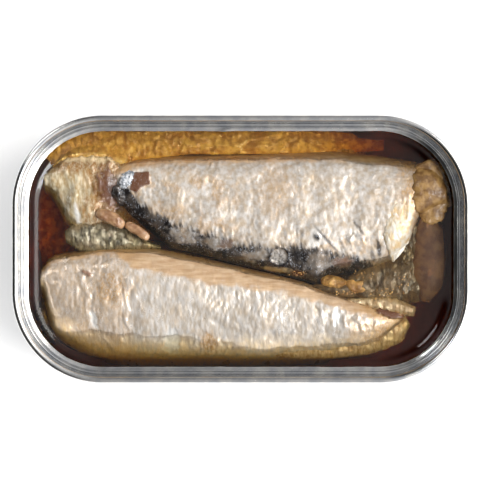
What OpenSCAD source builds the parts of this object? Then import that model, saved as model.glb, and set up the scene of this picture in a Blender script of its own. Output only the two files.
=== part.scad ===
// An opened quarter-club sardine tin with its oil and fish.
// The origin is at the centre of the standing face, +X runs along the tin and +Z is up.

/* [Tin] */
// Length over the rolled seam
tin_length = 107; // [98:0.5:130]
// Width over the rolled seam
tin_width = 62.6; // [56:0.2:76]
// Height from the standing face to the top of the seam
tin_height = 24; // [21:0.5:32]
// Corner radius of the seam's outer edge, seen from above
corner_radius = 21.2; // [18:0.2:26]
// Thickness of the sheet that the can is drawn from
can_gauge = 0.3; // [0.2:0.05:0.5]
// Radius of the bend round the foot of the can
foot_radius = 2.4; // [1.5:0.1:4]

/* [Rolled seam and lid] */
// Thickness of the lid's sheet
lid_gauge = 0.25; // [0.2:0.05:0.4]
// Height of the rolled seam
seam_height = 3; // [2.6:0.1:4]
// Play between the folded layers of the seam
seam_play = 0.04; // [0.02:0.01:0.1]
// Depth of the groove inside the seam, below its top
groove_depth = 3.7; // [3.3:0.1:5]
// Lean of the seam's inner wall towards the middle, from top to bottom
wall_lean = 0.4; // [0.1:0.05:0.8]
// Width of the groove at its foot
groove_width = 0.8; // [0.5:0.05:1.4]
// Height of the lid's panel above the groove
panel_rise = 0.5; // [0.2:0.05:1]
// Width of the strip of panel that stays when the lid is torn off
ledge_width = 1; // [0.5:0.05:2.5]

/* [Contents] */
// Height of the oil above the standing face
oil_height = 17; // [14:0.5:19]
// How far the upper sardines stand out of the oil
fish_proud = 2.4; // [1:0.1:2.8]
// Height of the upper sardines' widest line
upper_mid = 12.6; // [11:0.1:14]
// Height of the lower sardines' widest line
lower_mid = 6; // [4:0.1:8]
// Gap between a sardine, its neighbours, the oil and the can
food_gap = 0.3; // [0.2:0.05:0.6]
// Fullness of a sardine's cross-section: 2 is an ellipse
fish_fullness = 2.5; // [2:0.1:3.2]
// Fullness of the front sardine's sloping flank, on the side by the wall
flank_fullness = 1.8; // [1.6:0.05:2.4]
// Height of that flank's widest line
flank_mid = 9.2; // [8:0.1:12]
// How far the front sardine's ridge lies from its middle, as a share of its half width
ridge_lean = 0.3; // [0:0.05:0.5]
// Half the thickness of the long strip of flesh
long_strip_radius = 1.5; // [1:0.1:2]
// Half the thickness of the short strip of flesh
short_strip_radius = 1.05; // [0.7:0.05:1.4]

/* [Hidden] */
$fn = 64;

bend_steps = 6;
corner_x = tin_length / 2 - corner_radius;
corner_y = tin_width / 2 - corner_radius;

// Insets of the seam's layers from its outer edge, from the outside to the inside.
hook_out = lid_gauge + seam_play;
hook_in = hook_out + can_gauge;
lid_hook_in = hook_in + seam_play + lid_gauge;
can_out = lid_hook_in + seam_play;
can_in = can_out + can_gauge;
chuck_in = can_in + seam_play + lid_gauge;
seam_radius = chuck_in / 2;
seam_centre_z = tin_height - seam_radius;
ledge_in = chuck_in + wall_lean + groove_width + ledge_width;

inside_x = tin_length / 2 - can_in;
inside_y = tin_width / 2 - can_in;
floor_z = can_gauge;
foot_span = 4;

// ---- Sheet metal ----

function unit(v) = v / norm(v);
function left_of(v) = [-v[1], v[0]];

// Direction square to a path at one of its points, long enough to keep the sheet's thickness in a bend.
function across(path, i) =
    let (
        last = len(path) - 1,
        before = unit(path[max(i, 1)] - path[max(i, 1) - 1]),
        after = unit(path[min(i, last - 1) + 1] - path[min(i, last - 1)]),
        middle = unit(left_of(before) + left_of(after))
    )
    middle / (middle * left_of(before));

// Closed outline of a sheet that lies along the left side of a path.
function sheet(path, gauge) =
    concat(path, [for (i = [len(path) - 1:-1:0]) path[i] + gauge * across(path, i)]);

function arc(centre, radius, from, to) =
    [for (k = [0:bend_steps])
        let (a = from + (to - from) * k / bend_steps)
        centre + radius * [cos(a), sin(a)]];

// The can's outer face, from the base, round the foot, up the wall and over into the hook.
can_bend = (hook_in + can_out) / 2;
can_path = concat(
    [[can_out + foot_radius + foot_span, 0]],
    arc([can_out + foot_radius, foot_radius], foot_radius, -90, -180),
    arc([can_bend, seam_centre_z], can_out - can_bend, 0, 180),
    [[hook_in, tin_height - seam_height + seam_radius]]
);

// The lid's upper face, from the torn edge, through the groove, over the seam and round into its hook.
groove_out = chuck_in + wall_lean;
groove_z = tin_height - groove_depth;
lid_bend = lid_hook_in / 2;
lid_path = concat(
    [[ledge_in, groove_z + panel_rise]],
    [[groove_out + groove_width, groove_z + panel_rise]],
    [[groove_out + groove_width * 0.7, groove_z + panel_rise * 0.2]],
    [[groove_out + groove_width * 0.4, groove_z]],
    [[groove_out + groove_width * 0.1, groove_z + panel_rise * 0.2]],
    [[groove_out, groove_z + panel_rise]],
    arc([seam_radius, seam_centre_z], seam_radius, 0, 180),
    arc([lid_bend, tin_height - seam_height + lid_bend], lid_bend, -180, 0),
    [[lid_hook_in, seam_centre_z - 0.15]]
);

// Sweeps a section round the tin. A section's points are [inset from the seam's outer edge, height].
module round_the_tin(section) {
    outline = [for (p = section) [corner_radius - p[0], p[1]]];
    for (k = [0:3]) {
        side_x = k == 0 || k == 3 ? 1 : -1;
        side_y = k < 2 ? 1 : -1;
        translate([side_x * corner_x, side_y * corner_y, 0])
            rotate([0, 0, 90 * k]) {
                rotate_extrude(angle = 90) polygon(outline);
                rotate([90, 0, 0]) linear_extrude(2 * (k % 2 == 0 ? corner_y : corner_x)) polygon(outline);
            }
    }
}

// A plate with the tin's own outline, set in from the seam's outer edge.
module plate(inset, low, high) {
    translate([0, 0, low])
        linear_extrude(high - low) {
            for (x = [-1, 1], y = [-1, 1])
                translate([x * corner_x, y * corner_y]) circle(corner_radius - inset);
            square([2 * corner_x, tin_width - 2 * inset], center = true);
            square([tin_length - 2 * inset, 2 * corner_y], center = true);
        }
}

module tin_body() {
    color("silver") {
        round_the_tin(sheet(can_path, -can_gauge));
        plate(can_out + foot_radius + foot_span, 0, can_gauge);
    }
}

module lid_ring() {
    color("gainsboro") round_the_tin(sheet(lid_path, lid_gauge));
}

// ---- Sardines ----
// A sardine lies on its side. Each of its rows is [place along the tin, low side, high side, crown]:
// the first three in percent of the half of the can's inside, the crown in millimetres above the oil.

front_rows = [
    [-89, -40, -13, 1.2], [-87, -58, -8, 1.6], [-84, -70, -5, 1.9], [-77, -80, -2, 2.2],
    [-68, -88, 1, 2.3], [-58, -92, 3.5, 2.4], [-34, -93, -0.5, 2.4], [0, -93, -14, 2.4],
    [30, -92, -27, 2.3], [50, -89, -40, 2], [58, -85, -44, 1.6], [66, -77, -45, 1],
    [71, -66, -47, 0.5], [73.5, -59, -51, 0]
];
back_rows = [
    [-55.5, 40, 64, 1.3], [-50, 27, 68.5, 1.8], [-38, 9, 72, 2.2], [-28, -6, 73.5, 2.4],
    [0, -18, 74.5, 2.4], [30, -32, 76, 2.4], [38, -24, 76.5, 2.4], [46, -20, 76, 2.3],
    [54, -18, 74.5, 2.3], [63, -14, 73, 2.3], [70, -9, 71, 2.2], [76, 2, 69.5, 2],
    [80, 20, 68, 1.8], [87, 29, 64, 1.5], [92.5, 34, 52, 1]
];
under_front_rows = [
    [-92, -58, -42, -5], [-90, -68, -34, -4.5], [-85, -76, -26, -5.5], [-75, -84, -16, -7],
    [-55, -88, -9, -7.5], [0, -88, -8, -7.5], [30, -82, -8, -6], [45, -70, -7, -3.6],
    [58, -58, -6, -2.5], [70, -50, -7, -2.3], [76, -45, -10, -2.6], [79, -40, -14, -3.5]
];
under_back_rows = [
    [-87.5, 42, 65, -0.6], [-84, 33, 73, 0.2], [-79.5, 19, 83, 0.6], [-73.5, 8.5, 90, 0.8],
    [-63, 5.5, 93, 0.4], [-53.5, 6.5, 94, -0.8], [-42, 6, 94, -2.6], [-23, 5, 94, -3],
    [19, 8, 94, -3], [44, 16, 92, -3.2], [51, 26, 88, -5], [57, 42, 78, -9.2]
];

// The tallest crown in the rows, which stands for "fish_proud".
rows_proud = 2.4;

// Value of a column at any place along the rows, on a smooth curve through them.
function row_before(rows, x, i = 0) =
    i >= len(rows) - 2 || rows[i + 1][0] > x ? i : row_before(rows, x, i + 1);
function slope(rows, c, i) =
    let (a = max(i - 1, 0), b = min(i + 1, len(rows) - 1))
    (rows[b][c] - rows[a][c]) / (rows[b][0] - rows[a][0]);
function smooth_at(rows, c, x) =
    let (
        i = row_before(rows, x),
        h = rows[i + 1][0] - rows[i][0],
        t = min(max((x - rows[i][0]) / h, 0), 1)
    )
    (1 + 2 * t) * (1 - t) * (1 - t) * rows[i][c] + t * (1 - t) * (1 - t) * h * slope(rows, c, i)
        + t * t * (3 - 2 * t) * rows[i + 1][c] + t * t * (t - 1) * h * slope(rows, c, i + 1);

function low_side(rows, x) = inside_y / 100 * smooth_at(rows, 1, x);
function high_side(rows, x) = inside_y / 100 * smooth_at(rows, 2, x);
function crown(rows, x) =
    let (height = smooth_at(rows, 3, x))
    oil_height + (height > 0 ? height * fish_proud / rows_proud : height);
function first_x(rows) = rows[0][0];
function last_x(rows) = rows[len(rows) - 1][0];
function swell(t) = pow(max(1 - pow(abs(t), fish_fullness), 0), 1 / fish_fullness);

// Height of a lower sardine's back at any point, or the floor beside it.
function top_at(rows, x, y) =
    x < first_x(rows) || x > last_x(rows) ? floor_z
    : let (low = low_side(rows, x), high = high_side(rows, x), t = (2 * y - low - high) / (high - low))
      abs(t) > 1 ? floor_z : lower_mid + (crown(rows, x) - lower_mid) * swell(t);
function pile_at(x, y) = max(top_at(under_front_rows, x, y), top_at(under_back_rows, x, y));

// The highest point of the pile close by, so that what lies on it clears it between the cross-sections too.
function pile_near(x, y) = max([for (dx = [-2.5, 0, 2.5], dy = [-1.2, 0, 1.2]) pile_at(x + dx, y + dy)]);

function front_low(x) = low_side(front_rows, x);
function front_high(x) = high_side(front_rows, x);
function beside_front(x) = x > last_x(front_rows) + 1 ? -inside_y : front_high(x) + food_gap;
function back_low(x) = max(low_side(back_rows, x), beside_front(x));
function back_high(x) = high_side(back_rows, x);
function under_front_low(x) = low_side(under_front_rows, x);
function under_front_high(x) = high_side(under_front_rows, x);
function under_back_low(x) = max(low_side(under_back_rows, x), beside_front(x));
function under_back_high(x) = high_side(under_back_rows, x);

ring_points = 24;
least_depth = 0.8;
upper_keel = 4.5;

// One cross-section of a sardine, at a place along the tin in percent. An upper sardine rests on the pile
// under it. "flank" is [height of the widest line, fullness, lean of the ridge] for the low side. The section
// is grown outwards by "grow", and a cutter's section has straight sides down to "foot".
function section(rows, x, low, high, mid, flank, upper, grow, foot) =
    let (
        top = crown(rows, x),
        ridge = (low + high) / 2 + flank[2] * (high - low) / 2,
        rest = function (y) food_gap + (upper ? pile_near(x, y) : floor_z),
        low_mid = min(max(flank[0], rest(low)), top - least_depth),
        high_mid = min(max(mid, rest(high)), top - least_depth),
        points = [
            for (k = [0:ring_points - 1])
                let (
                    a = 360 * k / ring_points,
                    far = cos(a) >= 0,
                    fullness = far ? fish_fullness : flank[1],
                    t = pow(abs(cos(a)), 2 / fullness),
                    lift = pow(abs(sin(a)), 2 / fullness),
                    y = ridge + t * (far ? high - ridge : low - ridge),
                    side_z = far ? high_mid : low_mid,
                    top_z = side_z + (top - side_z) * lift,
                    keel = upper ? min(mid - upper_keel, side_z) : floor_z + food_gap,
                    under_z = max(side_z - (side_z - keel) * lift, rest(y))
                )
                a <= 180 ? [y + grow * cos(a), top_z + grow * sin(a)] : [y, min(under_z, top_z)]
        ]
    )
    foot == undef ? points
    : concat([for (k = [0:ring_points / 2]) points[k]], [[low - grow, foot], [high + grow, foot]]);

// A closed solid through cross-sections that stand square to the tin's length.
module loft(stations, sections) {
    rings = len(stations);
    sides = len(sections[0]);
    points = [for (i = [0:rings - 1], p = sections[i]) [stations[i], p[0], p[1]]];
    walls = [
        for (i = [0:rings - 2], k = [0:sides - 1])
            let (a = i * sides + k, b = i * sides + (k + 1) % sides)
            each [[a, b + sides, b], [a, a + sides, b + sides]]
    ];
    first_cap = [for (k = [0:sides - 1]) k];
    last_cap = [for (k = [sides - 1:-1:0]) (rings - 1) * sides + k];
    polyhedron(points, concat([first_cap], walls, [last_cap]), convexity = 6);
}

// Places of the cross-sections: close together at both ends, where the outline turns fastest.
function places(rows, count) =
    [for (i = [0:count - 1])
        let (share = i / (count - 1))
        first_x(rows) + (last_x(rows) - first_x(rows)) * (share - sin(360 * share) / 13)];

module sardine(rows, low, high, mid, flank, upper, count, grow, foot) {
    xs = places(rows, count);
    sections = [for (x = xs) section(rows, x, low(x), high(x), mid, flank, upper, grow, foot)];
    stations = [for (i = [0:count - 1])
        inside_x / 100 * xs[i] + (i == 0 ? -grow : i == count - 1 ? grow : 0)];
    loft(stations, sections);
}

module sardine_front(grow = 0, foot = undef) {
    low = function (x) front_low(x);
    high = function (x) front_high(x);
    color("wheat")
        sardine(front_rows, low, high, upper_mid, [flank_mid, flank_fullness, ridge_lean], true, 24,
            grow, foot);
}

module sardine_back(grow = 0, foot = undef) {
    low = function (x) back_low(x);
    high = function (x) back_high(x);
    color("lightgray")
        sardine(back_rows, low, high, upper_mid, [upper_mid, fish_fullness, 0], true, 26, grow, foot);
}

module sardine_under_front(grow = 0, foot = undef) {
    low = function (x) under_front_low(x);
    high = function (x) under_front_high(x);
    color("darkkhaki")
        sardine(under_front_rows, low, high, lower_mid, [lower_mid, fish_fullness, 0], false, 20, grow, foot);
}

module sardine_under_back(grow = 0, foot = undef) {
    low = function (x) under_back_low(x);
    high = function (x) under_back_high(x);
    color("goldenrod")
        sardine(under_back_rows, low, high, lower_mid, [lower_mid, fish_fullness, 0], false, 20, grow, foot);
}

// ---- Loose flesh ----
// A rounded lump, longest along its own X, with fuller or sharper ends.
module lump(half_length, half_width, half_height, end_fullness = 2.2) {
    rings = 10;
    sides = 12;
    xs = [for (i = [0:rings - 1]) -half_length * cos(8 + 164 * i / (rings - 1))];
    sections = [
        for (x = xs)
            let (share = pow(1 - pow(abs(x / half_length), end_fullness), 1 / end_fullness))
            [for (k = [0:sides - 1])
                let (a = 360 * k / sides)
                [half_width * share * cos(a), half_height * share * sin(a)]]
    ];
    loft(xs, sections);
}

// Places of the loose pieces: [percent along, percent across] of the half of the can's inside.
long_strip_place = [-59, 23];
short_strip_place = [-46.8, 13.8];
left_lump_place = [42, -26.5];
right_lump_place = [52, -29.5];
lobe_place = [85.5, -5];

function in_tin(place) = [inside_x / 100 * place[0], inside_y / 100 * place[1]];
function on_pile(place, reach) =
    food_gap + max([for (dx = [-1:1], dy = [-1:1])
        pile_at(place[0] + 100 / inside_x * reach[0] * dx, in_tin(place)[1] + reach[1] * dy)]);

// Puts a piece at its place, turned in plan, with its middle at a height.
module laid(place, turn, z) {
    translate([in_tin(place)[0], in_tin(place)[1], z]) rotate([0, 0, turn]) children();
}

module flesh_strip_long(grow = 0) {
    color("rosybrown")
        laid(long_strip_place, -25, on_pile(long_strip_place, [2.6, 1]) + long_strip_radius)
            lump(3.7 + grow, long_strip_radius + grow, long_strip_radius + grow, 2.6);
}

module flesh_strip_short(grow = 0) {
    color("rosybrown")
        laid(short_strip_place, -33, oil_height + short_strip_radius * 0.4)
            lump(3.3 + grow, short_strip_radius + grow, short_strip_radius + grow, 2.4);
}

// A lump of flesh that stands on the pile, with its top above the oil.
module flesh_lump(place, turn, half_length, half_width, proud, grow) {
    low = on_pile(place, [half_length / 2, half_width / 2]);
    half_height = (oil_height + proud - low) / 2;
    laid(place, turn, low + half_height) lump(half_length + grow, half_width + grow, half_height + grow);
}

module flesh_lump_left(grow = 0) {
    color("sandybrown") flesh_lump(left_lump_place, -12, 2.6, 1.25, 1.3, grow);
}

module flesh_lump_right(grow = 0) {
    color("sandybrown") flesh_lump(right_lump_place, -10, 2.1, 1.35, 1.1, grow);
}

lobe_half_height = (oil_height + 0.8 - floor_z - food_gap) / 2;

module belly_lobe(grow = 0) {
    color("rosybrown")
        laid(lobe_place, 90, floor_z + food_gap + lobe_half_height)
            lump(8.2 + grow, 2.8 + grow, lobe_half_height + grow, 2.8);
}

// ---- Oil ----
// The oil fills the can up to its level and is cut round everything that stands in it.
module oil() {
    color("darkgoldenrod")
        difference() {
            union() {
                plate(can_in + food_gap, foot_radius, oil_height);
                plate(can_in + food_gap + foot_radius, floor_z, foot_radius);
            }
            sardine_front(food_gap, -1);
            sardine_back(food_gap, -1);
            sardine_under_front(food_gap, -1);
            sardine_under_back(food_gap, -1);
            flesh_strip_long(food_gap);
            flesh_strip_short(food_gap);
            flesh_lump_left(food_gap);
            flesh_lump_right(food_gap);
            belly_lobe(food_gap);
        }
}

tin_body();
lid_ring();
oil();
sardine_front();
sardine_back();
sardine_under_front();
sardine_under_back();
flesh_strip_long();
flesh_strip_short();
flesh_lump_left();
flesh_lump_right();
belly_lobe();
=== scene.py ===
# %% [markdown]
# # An opened tin of sardines
# This lesson dresses a sardine tin that was built in CAD. The CAD model gives every piece its place and
# size. Blender adds what the eye enjoys: rolled metal that mirrors the room, oily silver skin full of
# creases, and golden oil that you can look into. Every cell makes one thing and prints what it made.

# %% Load the tin
import math
import bmesh
import bpy
import numpy as np
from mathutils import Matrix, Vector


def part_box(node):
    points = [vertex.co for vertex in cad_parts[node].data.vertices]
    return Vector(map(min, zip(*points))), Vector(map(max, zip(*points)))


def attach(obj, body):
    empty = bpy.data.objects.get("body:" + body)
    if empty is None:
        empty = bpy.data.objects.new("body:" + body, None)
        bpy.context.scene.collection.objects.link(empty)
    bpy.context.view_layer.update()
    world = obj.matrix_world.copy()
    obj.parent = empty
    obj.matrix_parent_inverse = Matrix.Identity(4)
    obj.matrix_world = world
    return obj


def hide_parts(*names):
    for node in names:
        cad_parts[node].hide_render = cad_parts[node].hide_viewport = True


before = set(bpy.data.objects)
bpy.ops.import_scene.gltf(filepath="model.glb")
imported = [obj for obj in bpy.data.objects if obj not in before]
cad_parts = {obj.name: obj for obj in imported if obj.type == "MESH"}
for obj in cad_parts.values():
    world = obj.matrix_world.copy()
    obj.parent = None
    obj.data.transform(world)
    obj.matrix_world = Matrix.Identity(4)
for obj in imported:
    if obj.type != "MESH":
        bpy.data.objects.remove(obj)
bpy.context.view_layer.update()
MM = 0.001
print("nodes:", sorted(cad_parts))

# %% [markdown]
# ## Sizes that everything shares
# The fish were laid out in shares of the can's inside, so the same shares are used here. The seam and the
# oil's level come from the boxes of the CAD nodes. Millimetres are easier to read than metres, so
# every shape below is worked out in millimetres and scaled once, when its mesh is made.

# %% Sizes, in millimetres
def box_mm(node):
    """The low and the high corner of a CAD node's box."""
    return [np.array(corner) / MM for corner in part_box(node)]


half_length, half_width, rim_z = box_mm("lid_ring")[1]
oil_z = box_mm("oil")[1][2]
CORNER = 21.2
CAN_GAUGE, LID_GAUGE, SEAM_PLAY = 0.3, 0.25, 0.04
can_outside = 2 * LID_GAUGE + CAN_GAUGE + 3 * SEAM_PLAY
can_inside = can_outside + CAN_GAUGE
chuck_inside = can_inside + SEAM_PLAY + LID_GAUGE
inside_x, inside_y = half_length - can_inside, half_width - can_inside
print(f"seam {2 * half_length:.1f} x {2 * half_width:.1f} x {rim_z:.1f} mm, oil at {oil_z:.1f} mm")

# %% [markdown]
# ## Shader maths as plain expressions
# A material is a small network of nodes. Wiring them by hand hides the idea behind the plumbing, so a
# `Value` wraps one socket and lets masks be added, multiplied and inverted like numbers. `Finish` holds one
# material: `add` makes any other kind of node, and a few short methods name the nodes that are used most.

# %% Values
class Value:
    """A number that changes over a surface: one socket of a shader node."""

    def __init__(self, finish, socket):
        self.finish, self.socket = finish, socket

    def maths(self, operation, *others):
        return self.finish.add("Math", {"operation": operation}, dict(enumerate((self,) + others)))

    def __add__(self, other):
        return self.maths("ADD", other)

    def __sub__(self, other):
        return self.maths("SUBTRACT", other)

    def __rsub__(self, other):
        return self.finish.add("Math", {"operation": "SUBTRACT"}, {0: other, 1: self})

    def __mul__(self, other):
        return self.maths("MULTIPLY", other)

    __radd__ = __add__
    __rmul__ = __mul__

    def between(self, low, high):
        """0 below low, 1 above high, and a smooth step from one to the other."""
        return self.finish.add("MapRange", {"interpolation_type": "SMOOTHSTEP"},
                               {"Value": self, "From Min": low, "From Max": high})


print("operators of a value:", [name for name in vars(Value) if name.endswith("__") and name != "__init__"])

# %% [markdown]
# ## A finish, node by node
# In the node editor a material is built by dragging nodes and links. Here each method adds one node and
# returns its output as a `Value`, so a finish reads like a recipe: noise, then a blend, then the surface.
# The same class fills the world's tree, which has nodes but no material.

# %% Finishes
class Finish:
    """One material, built node by node, or the world when its tree is given."""

    def __init__(self, name, tree=None):
        self.material = None
        if tree is None:
            self.material = bpy.data.materials.new(name)
            self.material.use_nodes = True
            tree = self.material.node_tree
            tree.nodes.clear()
            self.output = tree.nodes.new("ShaderNodeOutputMaterial")
        self.tree = tree

    def feed(self, socket, value):
        if isinstance(value, Value):
            self.tree.links.new(value.socket, socket)
        elif isinstance(value, tuple) and len(value) == 3 and len(socket.default_value) == 4:
            socket.default_value = (*value, 1.0)
        else:
            socket.default_value = value

    def add(self, kind, settings=None, inputs=None, output=0):
        node = self.tree.nodes.new("ShaderNode" + kind)
        for name, value in (settings or {}).items():
            setattr(node, name, value)
        for name, value in (inputs or {}).items():
            self.feed(node.inputs[name], value)
        return Value(self, node.outputs[output])

    def mask(self, name):
        """A number that was stored at the mesh's points."""
        return self.add("Attribute", {"attribute_name": name}, output="Fac")

    def place(self, name="rest_mm"):
        """A place that was stored at the mesh's points, in millimetres."""
        return self.add("Attribute", {"attribute_name": name}, output="Vector")

    def stretch(self, vector, x=1.0, y=1.0, z=1.0):
        return self.add("VectorMath", {"operation": "MULTIPLY"}, {0: vector, 1: (x, y, z)})

    def noise(self, vector, scale, detail=3.0):
        return self.add("TexNoise", {"noise_dimensions": "3D"},
                        {"Vector": vector, "Scale": scale, "Detail": detail, "Roughness": 0.55})

    def cells(self, vector, scale):
        return self.add("TexVoronoi", {"feature": "F1"}, {"Vector": vector, "Scale": scale}, "Distance")

    def blend(self, share, first, second):
        """A colour between two colours. share is 0 at the first and 1 at the second."""
        node = self.tree.nodes.new("ShaderNodeMix")
        node.data_type, node.blend_type = "RGBA", "MIX"
        self.feed(node.inputs[0], share)
        self.feed(node.inputs[6], first)
        self.feed(node.inputs[7], second)
        return Value(self, node.outputs[2])

    def bump(self, height, distance, strength=1.0):
        """A surface normal that leans as if height, times a distance in metres, were real relief."""
        return self.add("Bump", None, {"Height": height, "Distance": distance, "Strength": strength})

    def surface(self, **inputs):
        """The main shader, with the names of its sockets written with _ for a space."""
        named = {name.replace("_", " "): value for name, value in inputs.items()}
        shader = self.add("BsdfPrincipled", None, named)
        self.tree.links.new(shader.socket, self.output.inputs["Surface"])
        return self.material


def srgb(red, green, blue):
    """A colour given as 0 to 255 on screen, turned into the light that shaders work with."""
    shares = [c / 255 for c in (red, green, blue)]
    return tuple(s / 12.92 if s <= 0.04045 else ((s + 0.055) / 1.055) ** 2.4 for s in shares)


print("shader helpers ready")

# %% [markdown]
# ## Meshes from grids of points
# Almost everything here is a grid: a rim is a profile carried round a path, a fish is a row of
# cross-sections. `grid_faces` joins neighbours in such a grid into quads. `mesh_piece` makes a smooth mesh
# of them, with masks stored at its points, and `finish_piece` gives it a material, ties it to the CAD body
# and hides the nodes that it stands for.

# %% Make and finish pieces
def grid_faces(rows, columns, round_rows=False, round_columns=False):
    """Quads between neighbours in a grid of points that is numbered row by row."""
    i, j = np.meshgrid(np.arange(rows if round_rows else rows - 1),
                       np.arange(columns if round_columns else columns - 1), indexing="ij")
    a, b = i * columns + j, i * columns + (j + 1) % columns
    down = ((i + 1) % rows) * columns
    return np.stack([a, b, down + (j + 1) % columns, down + j], axis=-1).reshape(-1, 4)


def tube_faces(rows, columns):
    """Quads round a tube, with a flat face at each end."""
    ends = [list(range(columns)), list(range((rows - 1) * columns, rows * columns))]
    return grid_faces(rows, columns, False, True).tolist() + ends


def store(mesh, name, kind, field, values):
    """Keep a value for each point of a mesh, under a name that a finish can ask for."""
    attribute = mesh.attributes.new(name, kind, "POINT")
    attribute.data.foreach_set(field, np.ravel(values).astype(np.float32))


def mesh_piece(name, points, faces, masks=None, places=None):
    """A mesh object from points in millimetres. Masks are numbers and places are vectors at its points."""
    mesh = bpy.data.meshes.new(name)
    flat = points.reshape(-1, 3)
    mesh.from_pydata((flat * MM).tolist(), [], [list(map(int, f)) for f in faces])
    for mask, values in (masks or {}).items():
        store(mesh, mask, "FLOAT", "value", values)
    for place, values in {"rest_mm": flat, **(places or {})}.items():
        store(mesh, place, "FLOAT_VECTOR", "vector", values)
    mesh.validate()
    mesh.shade_smooth()
    piece = bpy.data.objects.new(name, mesh)
    bpy.context.collection.objects.link(piece)
    print(f"{name}: {len(flat)} points, {len(faces)} faces")
    return piece


def closed_piece(name, points, faces, masks=None):
    """A mesh object that is closed, with all its faces turned outward."""
    piece = mesh_piece(name, points, faces, masks)
    shape = bmesh.new()
    shape.from_mesh(piece.data)
    bmesh.ops.recalc_face_normals(shape, faces=shape.faces)
    shape.to_mesh(piece.data)
    shape.free()
    return piece


def finish_piece(piece, material, slot, nodes=()):
    """Give a piece its material and its body, hide the CAD nodes that it stands for and print its slot."""
    piece.data.materials.clear()
    piece.data.materials.append(material)
    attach(piece, "root")
    if nodes:
        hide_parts(*nodes)
    print(f"{piece.name}: {material.name} in slot {slot}")


print("mesh helpers ready")

# %% [markdown]
# ## Random but repeatable
# Creases and blotches need randomness that is the same every time the script runs. Gradient noise hashes
# whole-number grid corners into directions, so equal places always give equal values. Adding copies at
# halved sizes gives the rough, natural look that one size alone never has. Every later call is given a
# seed, because another seed gives another pattern.

# %% Noise for shapes
def hashed(ix, iy, seed):
    """A repeatable angle for each corner of a grid."""
    h = (ix.astype(np.int64) * 374761393 + iy.astype(np.int64) * 668265263 + seed * 974634777) & 0x7FFFFFFF
    h = ((h ^ (h >> 13)) * 1274126177) & 0x7FFFFFFF
    return ((h ^ (h >> 16)) & 0xFFFF) / 65536 * 2 * np.pi


def noise(x, y, seed=0):
    """Smooth noise from about -1 to 1, one lump per unit."""
    ix, iy = np.floor(x), np.floor(y)
    fx, fy = x - ix, y - iy
    ease_x = fx * fx * fx * (fx * (fx * 6 - 15) + 10)
    ease_y = fy * fy * fy * (fy * (fy * 6 - 15) + 10)

    def corner(dx, dy):
        angle = hashed(ix + dx, iy + dy, seed)
        return np.cos(angle) * (fx - dx) + np.sin(angle) * (fy - dy)

    low = corner(0, 0) * (1 - ease_x) + corner(1, 0) * ease_x
    high = corner(0, 1) * (1 - ease_x) + corner(1, 1) * ease_x
    return 1.5 * (low * (1 - ease_y) + high * ease_y)


def rough(x, y, seed=0):
    """Noise with two finer layers on top, each half as high and half as wide as the one before."""
    return sum(0.5 ** k * noise(x * 2 ** k, y * 2 ** k, seed + 17 * k) for k in range(3))


def step(values, low, high):
    """0 at low, 1 at high, smooth in between. low may be the larger one."""
    t = np.clip((values - low) / (high - low), 0, 1)
    return t * t * (3 - 2 * t)


print("noise ready, a sample:", round(float(noise(np.array([0.3]), np.array([0.7]))[0]), 3))

# %% [markdown]
# ## Distances to lines and outlines
# Masks such as a dark back or a torn patch begin at a line. Asking how far each point lies from that line,
# instead of drawing it, gives a soft or ragged edge for free: the distance is bent a little by noise before
# it is turned into a step.

# %% Distances
def from_path(x, y, path):
    """Distance from each point to a path of straight stretches."""
    best = np.full(np.shape(x), np.inf)
    path = np.array(path, float)
    for start, end in zip(path[:-1], path[1:]):
        length = np.hypot(*(end - start))
        along = (end - start) / length
        s = np.clip((x - start[0]) * along[0] + (y - start[1]) * along[1], 0, length)
        best = np.minimum(best, np.hypot(x - start[0] - s * along[0], y - start[1] - s * along[1]))
    return best


def below_path(x, y, path):
    """How far each point lies under a curve that runs from left to right: negative above it."""
    path = np.array(path, float)
    return np.interp(x, path[:, 0], path[:, 1]) - y


def inside_shape(x, y, corners, wobble, seed):
    """Signed distance into a closed shape, positive inside, with an uneven edge."""
    distance = from_path(x, y, list(corners) + [corners[0]])
    crossings = np.zeros(np.shape(x), bool)
    for (ax, ay), (bx, by) in zip(corners, list(corners[1:]) + [corners[0]]):
        if ay != by:
            crossings ^= ((ay > y) != (by > y)) & (x < (bx - ax) * (y - ay) / (by - ay) + ax)
    signed = np.where(crossings, distance, -distance)
    return signed + wobble * rough(x / 1.2, y / 1.2, seed)


origin = np.zeros(1)
print("the origin lies", below_path(origin, origin, [(-1, 2), (1, 2)])[0], "under a line at 2")

# %% [markdown]
# ## The camera and the table
# The tin is looked at from straight above, from about half a metre, so that the camera sees neither wall
# from outside. A real light table would keep such an object free of shadows, and the same trick works here:
# the table is plain white and glows a little. It is staged, so it isn't part of the tin.

# %% Camera and table
CAMERA_HEIGHT = 620
FRAME_WIDTH = 111.8
SENSOR_WIDTH = 36
AIM_X, AIM_Y = -0.25, 2.1
TABLE_HALF = 900

lens = bpy.data.cameras.new("overhead_lens")
lens.sensor_width = SENSOR_WIDTH
lens.lens = SENSOR_WIDTH * (CAMERA_HEIGHT - rim_z) / FRAME_WIDTH
camera = bpy.data.objects.new("overhead_camera", lens)
camera.location = (AIM_X * MM, AIM_Y * MM, CAMERA_HEIGHT * MM)
bpy.context.collection.objects.link(camera)
bpy.context.scene.camera = camera

table_corners = TABLE_HALF * np.array([[-1, -1, 0], [1, -1, 0], [1, 1, 0], [-1, 1, 0.0]])
table = mesh_piece("table", table_corners, [(0, 1, 2, 3)])
table.data.shade_flat()
table_finish = Finish("table_white")
table_grain = table_finish.noise(table_finish.place(), 0.05)
table.data.materials.append(table_finish.surface(
    Base_Color=table_finish.blend(table_grain, srgb(252, 252, 252), srgb(246, 246, 246)), Roughness=0.8,
    Emission_Color=(1, 1, 1), Emission_Strength=0.45))
print("camera lens", round(lens.lens), "mm")

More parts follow.
